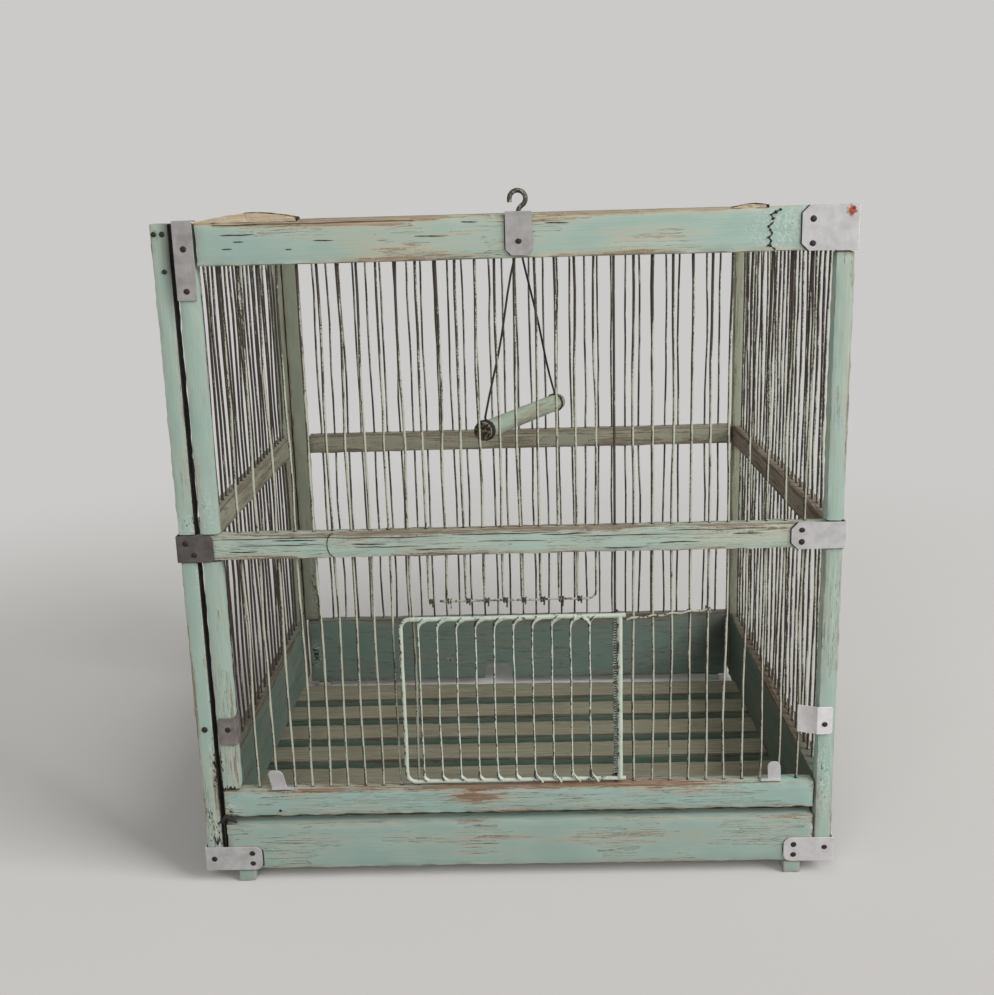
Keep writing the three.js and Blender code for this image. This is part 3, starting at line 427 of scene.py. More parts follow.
top_green = paint_over_wood("sage_milk_paint_rubbed_top", "#9cb3a8", "#aebdb0", "#bdae93", "#97836d",
                            wear=0.085)
sawn_stick("top_rail_front_worn", "top_rail_front", top_green, "x", step=3.0, chip=1.3,
           patches=[(-105, -170, 438.5, 85, 9, 5, 1.7), (-85, -173, 436, 45, 4, 6, 0.8),
                    (-150, -170, 438.5, 45, 9, 3.6, 1.4), (92, -170, 438.5, 66, 9, 4.6, 1.6),
                    (35, -173, 436, 40, 4, 5, 0.8), (-60, -173, 416, 60, 4, 4, 0.45),
                    (60, -173, 412, 50, 4, 3, 0.5), (-60, -173, 422, 70, 4, 9, 0.3),
                    (70, -173, 422, 50, 4, 8, 0.3)],
           soot=[(166, -173, 423, 22, 4, 22, 0.42)])
sawn_stick("top_rail_back_worn", "top_rail_back", back_green, "x")
sawn_stick("top_rail_left_worn", "top_rail_left", back_green, "y")
sawn_stick("top_rail_right_worn", "top_rail_right", back_green, "y")

# Slivers of the rail have warped up into humps: a long one at the left, torn at its right
# end, and a short one at the right.
bare_pine = paint_over_wood("bare_weathered_pine", "#cfc4ab", "#d6ccb4", "#cfc1a6", "#b39e82", wear=0.40)


def ripple(x, y, z):
    """Smooth noise at a place, between -1 and 1."""
    return noise.noise(Vector((x, y, z)))


def hump(x, x0, x1, rise):
    """How high a sliver stands over the rail, in millimetres."""
    along = min(max((x - x0) / (x1 - x0), 0), 1)
    return rise * math.sin(math.pi * 0.86 * along) ** 1.4


def warped_sliver(name, x0, x1, rise):
    """A thin strip of the rail's upper edge, lifted along its length and torn at its end."""
    sliver = block(name, (x0, -172.6, 436.7), (x1, -163, 437.8))
    open_mesh(sliver)
    pick(sliver, "edges", lambda e: abs((e.verts[0].co - e.verts[1].co).x) > 0.01)
    bpy.ops.mesh.subdivide(number_cuts=24)
    pick(sliver, "edges", lambda e: abs((e.verts[0].co - e.verts[1].co).y) > 0.007)
    bpy.ops.mesh.subdivide(number_cuts=4)
    bpy.ops.object.mode_set(mode="OBJECT")
    for vertex in sliver.data.vertices:
        x, y, z = vertex.co / MM
        torn = ripple(x * 0.9, y * 0.9, 3) * (1.2 if x > x0 + 0.72 * (x1 - x0) else 0.3)
        if z > 437.2:
            vertex.co.z = (437.7 + hump(x, x0, x1, rise) + torn * rise / 4.4) * MM
        vertex.co.y += 0.8 * ripple(x * 0.15, 7, z) * MM
    flat = points_of(sliver)
    mark(sliver, "grain", flat)
    mark(sliver, "worn", np.clip((flat[:, 0] / MM - x1 + 29) / 30, 0, 1))
    mark(sliver, "grime", np.clip((flat[:, 0] / MM - x1 + 3.0) / 2.5, 0, 1) * 1.5)
    sliver.data.materials.append(bare_pine)
    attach(sliver, "cage")


warped_sliver("top_edge_splinter", -183, -121, 4.4)
warped_sliver("top_edge_sliver_right", 137, 158, 1.7)

# ---------- Grilles: drilled mid rails ----------
# Each grille is a rail drilled through for the wires, which stand in blind holes above and
# below. The front rail runs over the posts. The back and side rails are grey and rubbed bare.

RAIL_LOW, RAIL_HIGH = 227.2, 244.5
SIDE_FRONT, SIDE_BACK = -160.85, 162.55
front_rail_wood = paint_over_wood("sage_milk_paint_streaked_rail", "#a9beb1", "#b9c5b5", "#b0a692", "#6d6153",
                                  wear=0.16, crack=2.4)
weathered = paint_over_wood("weathered_rail_grey_green", "#979c8a", "#a6a58e", "#a59c88", "#6a6052",
                            wear=0.24, crack=1.5)
brown_rail = paint_over_wood("weathered_rail_brown", "#8b8373", "#998f7d", "#8f8170", "#54483b", wear=0.27,
                             crack=2.0)
halving = [((-215, -166.9, 220), (-183.4, -150, 250), 0), ((197.7, -166.9, 220), (215, -150, 250), 0)]
sawn_stick("mid_rail_front_worn", "grille_front", front_rail_wood, "x",
           low=(-210, -173.15, RAIL_LOW), high=(210, -161.15, RAIL_HIGH), step=3.0, chip=1.1, notches=halving,
           patches=[(0, -168, 245, 180, 9, 2.5, 0.8), (-60, -173, 243, 120, 4, 3, 0.5),
                    (60, -173, 238, 90, 4, 4, 0.4), (-20, -173, 228, 60, 4, 3, 0.5)])
sawn_stick("mid_rail_back_worn", "grille_back", weathered, "x",
           low=(-183.7, 162.85, RAIL_LOW), high=(197.7, 174.85, RAIL_HIGH))
sawn_stick("mid_rail_left_worn", "grille_left", weathered, "y",
           low=(-210, SIDE_FRONT, RAIL_LOW), high=(-198, SIDE_BACK, RAIL_HIGH))
sawn_stick("mid_rail_right_worn", "grille_right", brown_rail, "y",
           low=(198, SIDE_FRONT, RAIL_LOW), high=(210, SIDE_BACK, RAIL_HIGH))
sawn_stick("hook_bar_worn", "grille_top", back_green, "y",
           low=(4, SIDE_FRONT, 423), high=(16, SIDE_BACK, 435),
           notches=[((8, -1.15, 420), (12, 2.85, 438), 0)])

# ---------- Grilles: the wires ----------
# Drawn iron wire, 1.6 mm and up to 1.9 mm with its paint, straightened by hand, so it wanders.
# It was painted in place with the wood, and the paint has flaked off in specks to brown iron.

wire_paint, tree = new_material("painted_iron_wire_chipped")
spot = add(tree, "TexCoord")
shade = add(tree, "Attribute", attribute_name="rust")
# Bare streaks 10 to 25 mm long down the wire, and specks of 1 mm.
long_map = add(tree, "Mapping", {"Vector": spot.outputs["Object"], "Scale": (330, 330, 42)})
flakes = add(tree, "TexNoise", {"Vector": long_map.outputs[0], "Scale": 1.0, "Detail": 4.0,
                                "Roughness": 0.65})
specks = add(tree, "TexNoise", {"Vector": spot.outputs["Object"], "Scale": 1100.0, "Detail": 2.0})
sum_one = add(tree, "Math", {0: specks.outputs["Fac"], 1: 0.56, 2: flakes.outputs["Fac"]},
              operation="MULTIPLY_ADD")
sum_two = add(tree, "Math", {0: shade.outputs["Fac"], 1: 0.45, 2: sum_one.outputs[0]},
              operation="MULTIPLY_ADD")
bare = add(tree, "MapRange", {"Value": sum_two.outputs[0], "From Min": 0.865, "From Max": 0.935})
coat = add(tree, "Mix", {0: flakes.outputs["Fac"], 6: colour("#b9b9a6"), 7: colour("#9b9e8e")},
           data_type="RGBA")
iron = add(tree, "Mix", {0: specks.outputs["Fac"], 6: colour("#2b2420"), 7: colour("#4f433a")},
           data_type="RGBA")
skin = add(tree, "Mix", {0: bare.outputs[0], 6: coat.outputs[2], 7: iron.outputs[2]}, data_type="RGBA")
bump = add(tree, "Bump", {"Height": bare.outputs[0], "Strength": 0.7, "Distance": 0.0002})
bump.invert = True
dull = add(tree, "MapRange", {"Value": bare.outputs[0], "To Min": 0.6, "To Max": 0.75})
shader = add(tree, "BsdfPrincipled", {"Base Color": skin.outputs[2], "Roughness": dull.outputs[0],
                                      "Normal": bump.outputs[0]})
add(tree, "OutputMaterial", {"Surface": shader.outputs[0]})


def draw_wires(name, runs, body, slot, material, replaced=(), sides=6, rust=0.0, left_rust=0.5,
               high_rust=0.0):
    """Round wires along lists of points, in millimetres, each with its own radius.

    A run is (radius, [points]). The curve becomes a closed mesh, and the rust attribute says
    how much paint each point has lost: more on the side away from the brush, and more on the
    side away from the light, where the dark is painted shade.
    """
    curve = bpy.data.curves.new(name, "CURVE")
    curve.dimensions = "3D"
    curve.bevel_depth = 1.0 * MM
    curve.bevel_resolution = sides // 2 - 2
    curve.use_fill_caps = True
    curve.twist_mode = "MINIMUM"
    for radius, points in runs:
        spline = curve.splines.new("POLY")
        spline.points.add(len(points) - 1)
        for target, point in zip(spline.points, points):
            target.co = (*[c * MM for c in point[:3]], 1)
            target.radius = radius * (point[3] if len(point) > 3 else 1)
        spline.use_smooth = True
    piece = bpy.data.objects.new(name, curve)
    bpy.context.scene.collection.objects.link(piece)
    choose(piece)
    bpy.ops.object.convert(target="MESH")
    piece = bpy.context.object
    open_mesh(piece)
    bpy.ops.mesh.select_all(action="SELECT")
    bpy.ops.mesh.remove_doubles(threshold=0.00001)
    bpy.ops.mesh.normals_make_consistent(inside=False)
    bpy.ops.object.mode_set(mode="OBJECT")
    bpy.ops.object.shade_smooth_by_angle(angle=math.radians(62))
    # The side that faces away from the light is darkened: painted shade on top of lost paint.
    lost = rust + left_rust * np.clip(-points_of(piece, "normal")[:, 0] * 0.9 - 0.1, -0.6, 1)
    # Above 320 mm the wire grows darker, or lighter where the value is negative.
    lost += high_rust * np.clip((points_of(piece)[:, 2] / MM - 320) / 70, 0, 1)
    mark(piece, "rust", lost)
    piece.data.materials.append(material)
    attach(piece, body)
    if replaced:
        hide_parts(*replaced)


def grille_wires(name, runs, node, **bare):
    """Painted wires of one grille."""
    draw_wires(name, runs, "cage", "grille_wood_and_wire", wire_paint, [node], **bare)


def wander(seed, place, across, top, bottom, lean, steps=15):
    """The line of one hand-straightened wire from its top to its bottom hole.

    It is held in the mid rail too, so the bends die out at both ends and at the rail.
    """
    points = []
    held = (RAIL_HIGH + 1, RAIL_LOW - 1)
    for i in range(steps + 1):
        z = top + (bottom - top) * i / steps
        free = min(abs(z - top), abs(z - bottom), *[abs(z - h) for h in held]) / 45
        if held[1] <= z <= held[0]:
            free = 0
        free = min(1.0, free) ** 0.7
        one = ripple(seed * 7.31, z * 0.011, 0.5) * 1.9
        one += ripple(seed * 3.7, z * 0.045, 9) * 0.5
        two = ripple(seed * 5.17, z * 0.011, 4.5) * 1.6
        x, y = place
        swing = free * (one + lean * ripple(seed * 1.9, 2, 2))
        if across == "x":
            points.append((x + swing, y + free * two, z))
        else:
            points.append((x + free * two, y + swing, z))
    return points


# Of the 31 front wires, numbers 10 to 18 are cut off over the door, 19 is bent over and 20
# carries the door.
FRONT_PLANE, BACK_PLANE = -167.15, 168.85
WIRE_TOP, WIRE_FOOT = 415.5, 62.8
CUT, BENT, HINGE = range(10, 19), 19, 20
across_places = [-184 + 11.9375 * i for i in range(1, 32)]
depth_places = [-161.15 + 12 * i for i in range(1, 27)]
whole = [i for i in range(31) if i not in (*CUT, BENT)]
front_runs = [(0.87, wander(i + 1, (across_places[i], FRONT_PLANE), "x", WIRE_TOP, WIRE_FOOT, 1.2))
              for i in whole if i != HINGE]
grille_wires("front_wires", front_runs, "grille_front", rust=0.16, left_rust=0.6, high_rust=0.6)

# The door's own wire is straight and painted dark brown all along; between the turns of the winding, this
# dark stands in for shade.
hinge_run = [(across_places[HINGE], FRONT_PLANE, z) for z in (WIRE_TOP, 320, 240, 180, 120, WIRE_FOOT)]
grille_wires("hinge_wire", [(0.8, hinge_run)], "grille_front", rust=0.85)

# The wires over the door opening. One cage wire bends over into the header, and the nine
# others are cut off at it, each twisted round it in a dark knot.
HEADER, BEND = 195.5, 5
drop = wander(45, (across_places[BENT], FRONT_PLANE), "x", WIRE_TOP, 205, 0.6, steps=9)
bend = [(across_places[BENT] + BEND * math.cos(a) - BEND, FRONT_PLANE, HEADER + BEND + BEND * math.sin(a))
        for a in (0, -0.4, -0.8, -1.2, -math.pi / 2)]
run = [(x, FRONT_PLANE, HEADER + 0.9 * ripple(x * 0.05, 1, 1)) for x in range(42, -54, -8)]
opening_runs = [(0.8, drop + bend + run)]
knots = []
for i in CUT:
    line = wander(60 + i, (across_places[i], FRONT_PLANE), "x", WIRE_TOP, HEADER + 2, 1.0, steps=9)
    end_x = line[-1][0]
    turns = [(end_x + 0.5 * t, FRONT_PLANE + 1.45 * math.cos(t * 2.1), HEADER - 1.45 * math.sin(t * 2.1))
             for t in np.linspace(0.4, 5.4, 12)]
    opening_runs.append((0.9, line))
    knots.append((0.62, [(end_x, FRONT_PLANE + 0.4, HEADER + 3.5)] + turns
                  + [(end_x + 2.2, FRONT_PLANE - 1.2, HEADER - 2.7 - (i % 3))]))
grille_wires("header_and_cut_wires", opening_runs, "grille_front", rust=0.2, high_rust=0.4)
grille_wires("header_knots", knots, "grille_front", rust=0.6)

# A thin tie wire runs from the hinge over the wires beside it, with a turn round each.
TIE_LEFT, TIE_RIGHT, TIE_LOW, TIE_RISE = 73.8, 128.8, 181.4, 5.6
tie = []
for step in range(41):
    x = TIE_LEFT + (TIE_RIGHT - TIE_LEFT) * step / 40
    wrap = (x - 66.7) / 11.94 * 2 * math.pi
    tie.append((x, FRONT_PLANE - 1.3 + 0.25 * math.sin(wrap),
                TIE_LOW + TIE_RISE * step / 40 + 0.5 * math.cos(wrap)))
tie_turns = []
for i in range(21, 26):
    x, z = across_places[i], TIE_LOW + TIE_RISE * (across_places[i] - 76.5) / 52.3
    tie_turns.append((0.5, [(x + 1.4 * math.cos(t), FRONT_PLANE + 1.4 * math.sin(t), z - 0.9 + t * 0.16)
                            for t in np.linspace(0, 10, 22)]))
grille_wires("tie_wire_turns", tie_turns, "grille_front", rust=0.5)
tie_knot = [(126.4 + 1.6 * math.cos(t), FRONT_PLANE + 1.5 * math.sin(t), 184.4 + t * 0.42)
            for t in np.linspace(0, 11, 24)]
grille_wires("tie_wire_beside_hinge", [(0.7, tie), (0.55, tie_knot)], "grille_front", rust=0.12)

back_runs = [(0.9, wander(100 + i, (x, BACK_PLANE), "x", WIRE_TOP, WIRE_FOOT, 1.4))
             for i, x in enumerate(across_places)]
grille_wires("back_wires", back_runs, "grille_back", rust=0.5)
left_runs = [(0.95, wander(140 + i, (-204, y), "y", WIRE_TOP, WIRE_FOOT, 1.6))
             for i, y in enumerate(depth_places)]
grille_wires("left_wires", left_runs, "grille_left", rust=0.80, high_rust=-0.18)
right_runs = [(0.95, wander(180 + i, (204, y), "y", WIRE_TOP, WIRE_FOOT, 2.4))
              for i, y in enumerate(depth_places)]
grille_wires("right_wires", right_runs, "grille_right", rust=0.39, high_rust=0.06)

# The wires of the top run from side to side through the bar that carries the hook.
top_runs = []
for i, y in enumerate(depth_places):
    points = []
    for step in range(17):
        x = -202.5 + 405 * step / 16
        free = min(1.0, min(abs(x + 202), abs(x - 202), max(0, abs(x - 10) - 6)) / 45)
        points.append((x, y + free * 2.6 * ripple(i * 4.7, x * 0.012, 6),
                       429 + free * 1.6 * ripple(i * 2.3, x * 0.012, 8)))
    top_runs.append((0.8, points))
grille_wires("top_wires", top_runs, "grille_top", rust=0.05)

# ---------- Bottom rail, boards and feet ----------
# The front wires stand on a low rail, with a board under it and an open slit between. The
# side and back boards close the base, nearly dark teal inside. Four square feet carry it.

low_green = paint_over_wood("sage_milk_paint_low_rail", "#98b1a7", "#a9bbb0", "#ab957e", "#7d5c46",
                            wear=0.11, crack=1.4)
board_green = paint_over_wood("sage_milk_paint_board", "#94aaa0", "#a4b6ab", "#aea38f", "#8b745b", wear=0.09)
deep_green = paint_over_wood("teal_milk_paint_inside", "#6c8177", "#788a7f", "#85786a", "#544a3f",
                             wear=0.12, crack=1.2)
# The right board's teal is darker than the left one's, partly as painted shade: its inside faces away from
# the light.
right_board_shaded_teal = paint_over_wood("teal_milk_paint_right_board_shaded", "#56695e", "#65756a", "#7b6f5d", "#453b30",
                             wear=0.13)
left_green = paint_over_wood("teal_milk_paint_left_board", "#65796d", "#73867a", "#857a69", "#50463a",
                             wear=0.12, crack=1.6)

sawn_stick("front_bottom_rail_worn", "front_bottom_rail", low_green, "x", step=3.0, chip=1.2,
           patches=[(-27, -173, 60, 20, 3, 5, 1.1), (-27, -173, 61, 8, 3, 3, 0.5),
                    (-153, -173, 61.8, 20, 3, 1.4, 0.9), (-128, -173, 67, 14, 3, 1.4, 0.6),
                    (60, -170, 67.5, 90, 8, 3, 0.6), (-60, -168, 67.5, 180, 8, 2, 0.7),
                    (110, -173, 62, 30, 3, 3, 0.5)],
           soot=[(-192, -173, 52, 8, 5, 8, 0.8)])
sawn_stick("front_board_worn", "front_board", board_green, "x", step=3.0, chip=0.9,
           patches=[(30, -173, 30, 130, 3, 3, 0.55), (60, -173, 24, 110, 3, 2, 0.45),
                    (-20, -173, 19, 90, 3, 2, 0.35)],
           soot=[(196, -173, 30, 2.5, 5, 16, 0.7)])
sawn_stick("back_board_worn", "back_board", deep_green, "x", step=4.0,
           notches=[((-30.5, 150, -4), (-5.5, 185, 19), 5)],
           patches=[(0, 163, 67, 200, 9, 4, 0.8), (60, 163, 64, 90, 4, 5, 0.5)],
           soot=[(-190, 163, 34, 5, 5, 14, 1.3), (18, 163, 28, 2, 3, 2, 1.4), (11, 163, 27, 1.5, 3, 1.5, 1.4),
                 (-63, 163, 26, 1.8, 3, 1.8, 1.4)],
           # Painted shade at the board's dark right end, and a little at its left end.
           painted_shade=[(200, 163, 42, 38, 7, 46, 0.85), (-190, 163, 60, 10, 7, 22, 0.15)])
# Behind the last lath the side boards reach down as far as the laths do.
lath_step = ((-215, -170, 0), (215, 131.3, 13.5), 0)
sawn_stick("side_board_left_worn", "side_board_left", left_green, "y",
           low=(-210, SIDE_FRONT, 6.6), high=(-198, SIDE_BACK, 67.3), notches=[lath_step],
           patches=[(-204, 0, 67, 9, 180, 3, 0.9), (-198, -60, 40, 3, 70, 4, 0.45)])
sawn_stick("side_board_right_worn", "side_board_right", right_board_shaded_teal, "y",
           low=(198, SIDE_FRONT, 6.6), high=(210, SIDE_BACK, 67.3), notches=[lath_step],
           patches=[(204, 0, 67, 9, 180, 3, 1.1), (198, 0, 14, 3, 170, 3, 0.5)],
           # Painted shade at its back end.
           painted_shade=[(198, 165, 40, 5, 60, 46, 0.6)])
for corner in ("front_left", "front_right", "back_left", "back_right"):
    sawn_stick(f"foot_{corner}_worn", f"foot_{corner}", board_green, "z", step=2.5, chip=0.6)

# ---------- Floor slats ----------
# Seven laths, 7 mm thick, nailed across under the side boards. Their tops have scrubbed off
# to dull grey-tan wood, and their sides still have the teal paint.

scrubbed = paint_over_wood("scrubbed_grey_floor_lath", "#5f6d62", "#6a7567", "#a19d88", "#807a65",
                           wear=0.20, crack=0.7)
reddish = paint_over_wood("scrubbed_reddish_floor_lath", "#606a5e", "#6f7162", "#a29381", "#877160",
                          wear=0.22, crack=0.7)
lath_sides_and_shade = paint_over_wood("teal_milk_paint_lath_sides_and_shade", "#546c5c", "#5f7765", "#6f6957", "#3d372d",
                            wear=0.05)
for i in range(1, 8):
    low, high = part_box(f"floor_slat_{i}")
    middle = (low[1] + high[1]) / 2 / MM
    slat = sawn_stick(f"floor_slat_{i}_scrubbed", f"floor_slat_{i}",
                      reddish if i in (1, 2) else scrubbed, "x", step=5.0, chip=0.7,
                      patches=[(0, middle, high[2] / MM + 0.5, 700, 45, 2.6, 0.95)])
    slat.data.materials.append(lath_sides_and_shade)
    if i == 7:
        # The last lath is cut wider at its left end.
        for vertex in slat.data.vertices:
            if vertex.co.y > middle * MM:
                vertex.co.y += 4.2 * MM - 0.017 * vertex.co.x
    # The sides keep the teal paint. The same dark teal on the top's front 3.4 mm is painted shade, widening
    # the dark band between laths.
    for face in slat.data.polygons:
        if abs(face.normal.y) > 0.8 or face.center.y < low[1] + 3.4 * MM:
            face.material_index = 1

# ---------- Tin plates, straps and nails ----------
# Cut from flat aluminium sheet with snips, folded over the corners and held by round
# nails. It is dull, scratched and paint-stained; the middle left one has gone brown.


def tin_finish(name, light, dark, stain, stained, rough, bloom=None):
    """Oxidised aluminium sheet: grey, nearly matt, with fine scratches across and dirt in them."""
    material, tree = new_material(name)
    spot = add(tree, "TexCoord")
    # Scratches 0.5 mm apart and 8 mm long, and cloudy oxide 8 mm across.
    long_map = add(tree, "Mapping", {"Vector": spot.outputs["Object"], "Scale": (2200, 2200, 130)})
    scratch = add(tree, "TexNoise", {"Vector": long_map.outputs[0], "Scale": 1.0, "Detail": 2.0})
    cloud = add(tree, "TexNoise", {"Vector": spot.outputs["Object"], "Scale": 120.0, "Detail": 4.0,
                                   "Roughness": 0.6})
    fleck = add(tree, "TexNoise", {"Vector": spot.outputs["Object"], "Scale": 420.0, "Detail": 3.0,
                                   "Roughness": 0.7})
    share = add(tree, "MapRange", {"Value": cloud.outputs["Fac"], "From Min": 0.38, "From Max": 0.66})
    base = add(tree, "Mix", {0: share.outputs[0], 6: colour(light), 7: colour(dark)}, data_type="RGBA")
    dirt = add(tree, "MapRange", {"Value": fleck.outputs["Fac"], "From Min": 0.70 - stained,
                                  "From Max": 0.76 - stained})
    skin = add(tree, "Mix", {0: dirt.outputs[0], 6: base.outputs[2], 7: colour(stain)}, data_type="RGBA")
    if bloom:
        # Orange rust that has run into one corner, ragged at its edge.
        near = add(tree, "VectorMath", {0: spot.outputs["Object"], 1: bloom}, operation="DISTANCE")
        edge = add(tree, "Math", {0: fleck.outputs["Fac"], 1: -0.0066, 2: near.outputs["Value"]},
                   operation="MULTIPLY_ADD")
        orange = add(tree, "MapRange", {"Value": edge.outputs[0], "From Min": 0.0003, "From Max": -0.0012})
        deep = add(tree, "MapRange", {"Value": fleck.outputs["Fac"], "From Min": 0.42, "From Max": 0.58})
        rusty = add(tree, "Mix", {0: deep.outputs[0], 6: colour("#c4694a"), 7: colour("#6b2a1a")},
                    data_type="RGBA")
        skin = add(tree, "Mix", {0: orange.outputs[0], 6: skin.outputs[2], 7: rusty.outputs[2]},
                   data_type="RGBA")
    shine = add(tree, "MapRange", {"Value": scratch.outputs["Fac"], "To Min": rough - 0.1,
                                   "To Max": rough + 0.14})
    metal = add(tree, "MapRange", {"Value": dirt.outputs[0], "To Min": 0.3, "To Max": 0.1})
    height = add(tree, "Math", {0: cloud.outputs["Fac"], 1: 2.2, 2: scratch.outputs["Fac"]},
                 operation="MULTIPLY_ADD")
    bump = add(tree, "Bump", {"Height": height.outputs[0], "Strength": 0.16, "Distance": 0.0004})
    shader = add(tree, "BsdfPrincipled", {"Base Color": skin.outputs[2], "Roughness": shine.outputs[0],
                                          "Metallic": metal.outputs[0], "Normal": bump.outputs[0]})
    add(tree, "OutputMaterial", {"Surface": shader.outputs[0]})
    return material


dull_tin = tin_finish("oxidised_aluminium_sheet", "#c9c7c6", "#b6b3b1", "#8f928a", 0.0, 0.5)
spotted_tin = tin_finish("aluminium_sheet_with_rust_spot", "#c9c7c6", "#b9b6b5", "#8f928a", 0.0, 0.5,
                         bloom=(0.2062, -0.1742, 0.4338))
grey_tin = tin_finish("weathered_grey_sheet", "#aca7a4", "#96918f", "#7d7f76", 0.0, 0.55)
pale_tin = tin_finish("clean_aluminium_sheet", "#dad6d7", "#cbc6c7", "#9b9e96", 0.0, 0.5)
# A lighter copy of the sheet for the right angle, which stands in shade: painted light.
lit_tin = tin_finish("aluminium_sheet_painted_lighter", "#efecec", "#e0dcdc", "#a5a89f", 0.0, 0.5)
worn_tin = tin_finish("weathered_light_grey_sheet", "#b0adab", "#9b9896", "#82857c", 0.0, 0.5)
pink_tin = tin_finish("tarnished_pinkish_sheet", "#8a827e", "#6d6663", "#5b5a52", 0.03, 0.6)
brown_tin = tin_finish("tarnished_brown_sheet", "#655f5c", "#4f4a48", "#7a746b", 0.05, 0.6)


def gritty(name, scale, detail, dark, light, rough, metal=0.0, pits=()):
    """A dark skin with lighter grains: rust, soot or packed dirt.

    pits are the strength and the depth in metres of the bumps that the grains make.
    """
    material, tree = new_material(name)
    spot = add(tree, "TexCoord")
    grit = add(tree, "TexNoise", {"Vector": spot.outputs["Object"], "Scale": scale, "Detail": detail})
    skin = add(tree, "Mix", {0: grit.outputs["Fac"], 6: colour(dark), 7: colour(light)}, data_type="RGBA")
    sockets = {"Base Color": skin.outputs[2]}
    if pits:
        bump = add(tree, "Bump", {"Height": grit.outputs["Fac"], "Strength": pits[0], "Distance": pits[1]})
        sockets["Normal"] = bump.outputs[0]
    shader = add(tree, "BsdfPrincipled", sockets)
    shader.inputs["Metallic"].default_value = metal
    shader.inputs["Roughness"].default_value = rough
    add(tree, "OutputMaterial", {"Surface": shader.outputs[0]})
    return material


# Black-brown rust in grains of 0.7 mm, hardly shiny.
nail_iron = gritty("rusted_nail_iron", 1500.0, 3.0, "#1d1916", "#40332a", 0.65, metal=0.3, pits=(0.6, 0.0003))

# The front face of the tin, its thickness, its outer side, and how far it runs round a corner.
FACE, TIN, OUTSIDE, WRAP = -174.25, 0.8, 211.1, 20.3


def folded_sheet(name, node, low, high, fold, reach, corners=(), radius=0.0, cut=False, material=None,
                 back=None):
    """A sheet that faces the front, folded back at one end: "left", "right" or "top".

    corners are the free corners to round, or to snip off if cut, as (x, z) pairs of -1 and 1.
    """
    front, rear = (FACE, FACE + TIN) if back is None else (back - TIN, back)
    piece = block(name, (low[0], front, low[1]), (high[0], rear, high[1]))
    line = {"left": (low[0] + TIN, "x", -1), "right": (high[0] - TIN, "x", 1),
            "top": (high[1] - TIN, "z", 1)}[fold]
    where, axis, side = line[0] * MM, "xyz".index(line[1]), line[2]
    open_mesh(piece, "FACE")
    bpy.ops.mesh.select_all(action="SELECT")
    normal, point = [0, 0, 0], [0, 0, 0]
    normal[axis], point[axis] = 1, where
    bpy.ops.mesh.bisect(plane_co=point, plane_no=normal)
    pick(piece, "faces", lambda f: f.normal.y > 0.9 and (f.calc_center_median()[axis] - where) * side > 0)
    bpy.ops.mesh.extrude_region_move(TRANSFORM_OT_translate={"value": (0, reach * MM, 0)})
    bpy.ops.mesh.select_mode(type="EDGE")
    if corners:
        ends = [((low[0] if x < 0 else high[0]) * MM, (low[1] if z < 0 else high[1]) * MM)
                for x, z in corners]
        pick(piece, "edges", lambda e: abs(e.verts[0].co.y - e.verts[1].co.y) > 0.0005
             and any(abs(e.verts[0].co.x - x) + abs(e.verts[0].co.z - z) < 0.0001 for x, z in ends))
        bpy.ops.mesh.bevel(offset=radius * MM, segments=1 if cut else 6, affect="EDGES")
    # The fold's outer edge is round.
    corner = (low[0] if fold == "left" else high[0]) if fold != "top" else high[1]
    pick(piece, "edges", lambda e: all(abs(v.co[axis] - corner * MM) < 1e-5
                                       and abs(v.co.y - front * MM) < 1e-5
                                       for v in e.verts))
    bpy.ops.mesh.bevel(offset=0.5 * MM, segments=3, affect="EDGES")
    bpy.ops.object.mode_set(mode="OBJECT")
    snip = piece.modifiers.new("snipped_edge", "BEVEL")
    snip.width = 0.15 * MM
    snip.limit_method = "ANGLE"
    apply_all(piece)
    bpy.ops.object.shade_smooth_by_angle(angle=math.radians(35))
    piece.data.materials.append(material or dull_tin)
    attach(piece, "cage")
    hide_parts(node)
    return piece


folded_sheet("strap_top_left_folded", "strap_top_left", (-196, 391.5), (-184, 438.6), "top", 9.2,
             corners=[(-1, -1), (1, -1)], radius=1.0, material=grey_tin)
folded_sheet("plate_top_centre_folded", "plate_top_centre", (2.2, 413), (18.2, 438.6), "top", 10.5,
             corners=[(-1, -1), (1, -1)], radius=3.5, cut=True, material=worn_tin)
ends_left, ends_right = [(-1, -1), (-1, 1)], [(1, -1), (1, 1)]
folded_sheet("plate_top_right_folded", "plate_top_right", (177.3, 411), (OUTSIDE, 437.5), "right", WRAP,
             ends_left, 4.4, cut=True, material=spotted_tin)
folded_sheet("plate_mid_right_folded", "plate_mid_right", (176.7, RAIL_LOW), (OUTSIDE, RAIL_HIGH), "right",
             WRAP, ends_left, 4.2, cut=True)
folded_sheet("plate_bottom_right_folded", "plate_bottom_right", (178, 9.5), (OUTSIDE, 26.5), "right", WRAP,
             ends_left, 5, material=pale_tin)
folded_sheet("plate_mid_left_folded", "plate_mid_left", (-OUTSIDE, RAIL_LOW), (-187.5, RAIL_HIGH), "left",
             WRAP, ends_right, 3, material=brown_tin)
folded_sheet("plate_bottom_left_folded", "plate_bottom_left", (-OUTSIDE, 9.5), (-172.5, 26.5), "left", WRAP,
             ends_right, 5)
folded_sheet("angle_left_folded", "angle_left", (-195.0, 101), (-182.9, 120), "right", 12.3, ends_left, 2,
             material=pink_tin)
flap = folded_sheet("angle_right_folded", "angle_right", (196.9, 101), (207.2, 120), "left", 12.3,
                    ends_right, 2, material=lit_tin)
# Its flap has been bent open again, and leans out in front of the last wire.
for vertex in flap.data.vertices:
    depth = max(0, vertex.co.y - (FACE + TIN) * MM)
    vertex.co.x -= 0.927 * depth
    vertex.co.y -= 0.625 * depth


SILL_TOP = 67.6


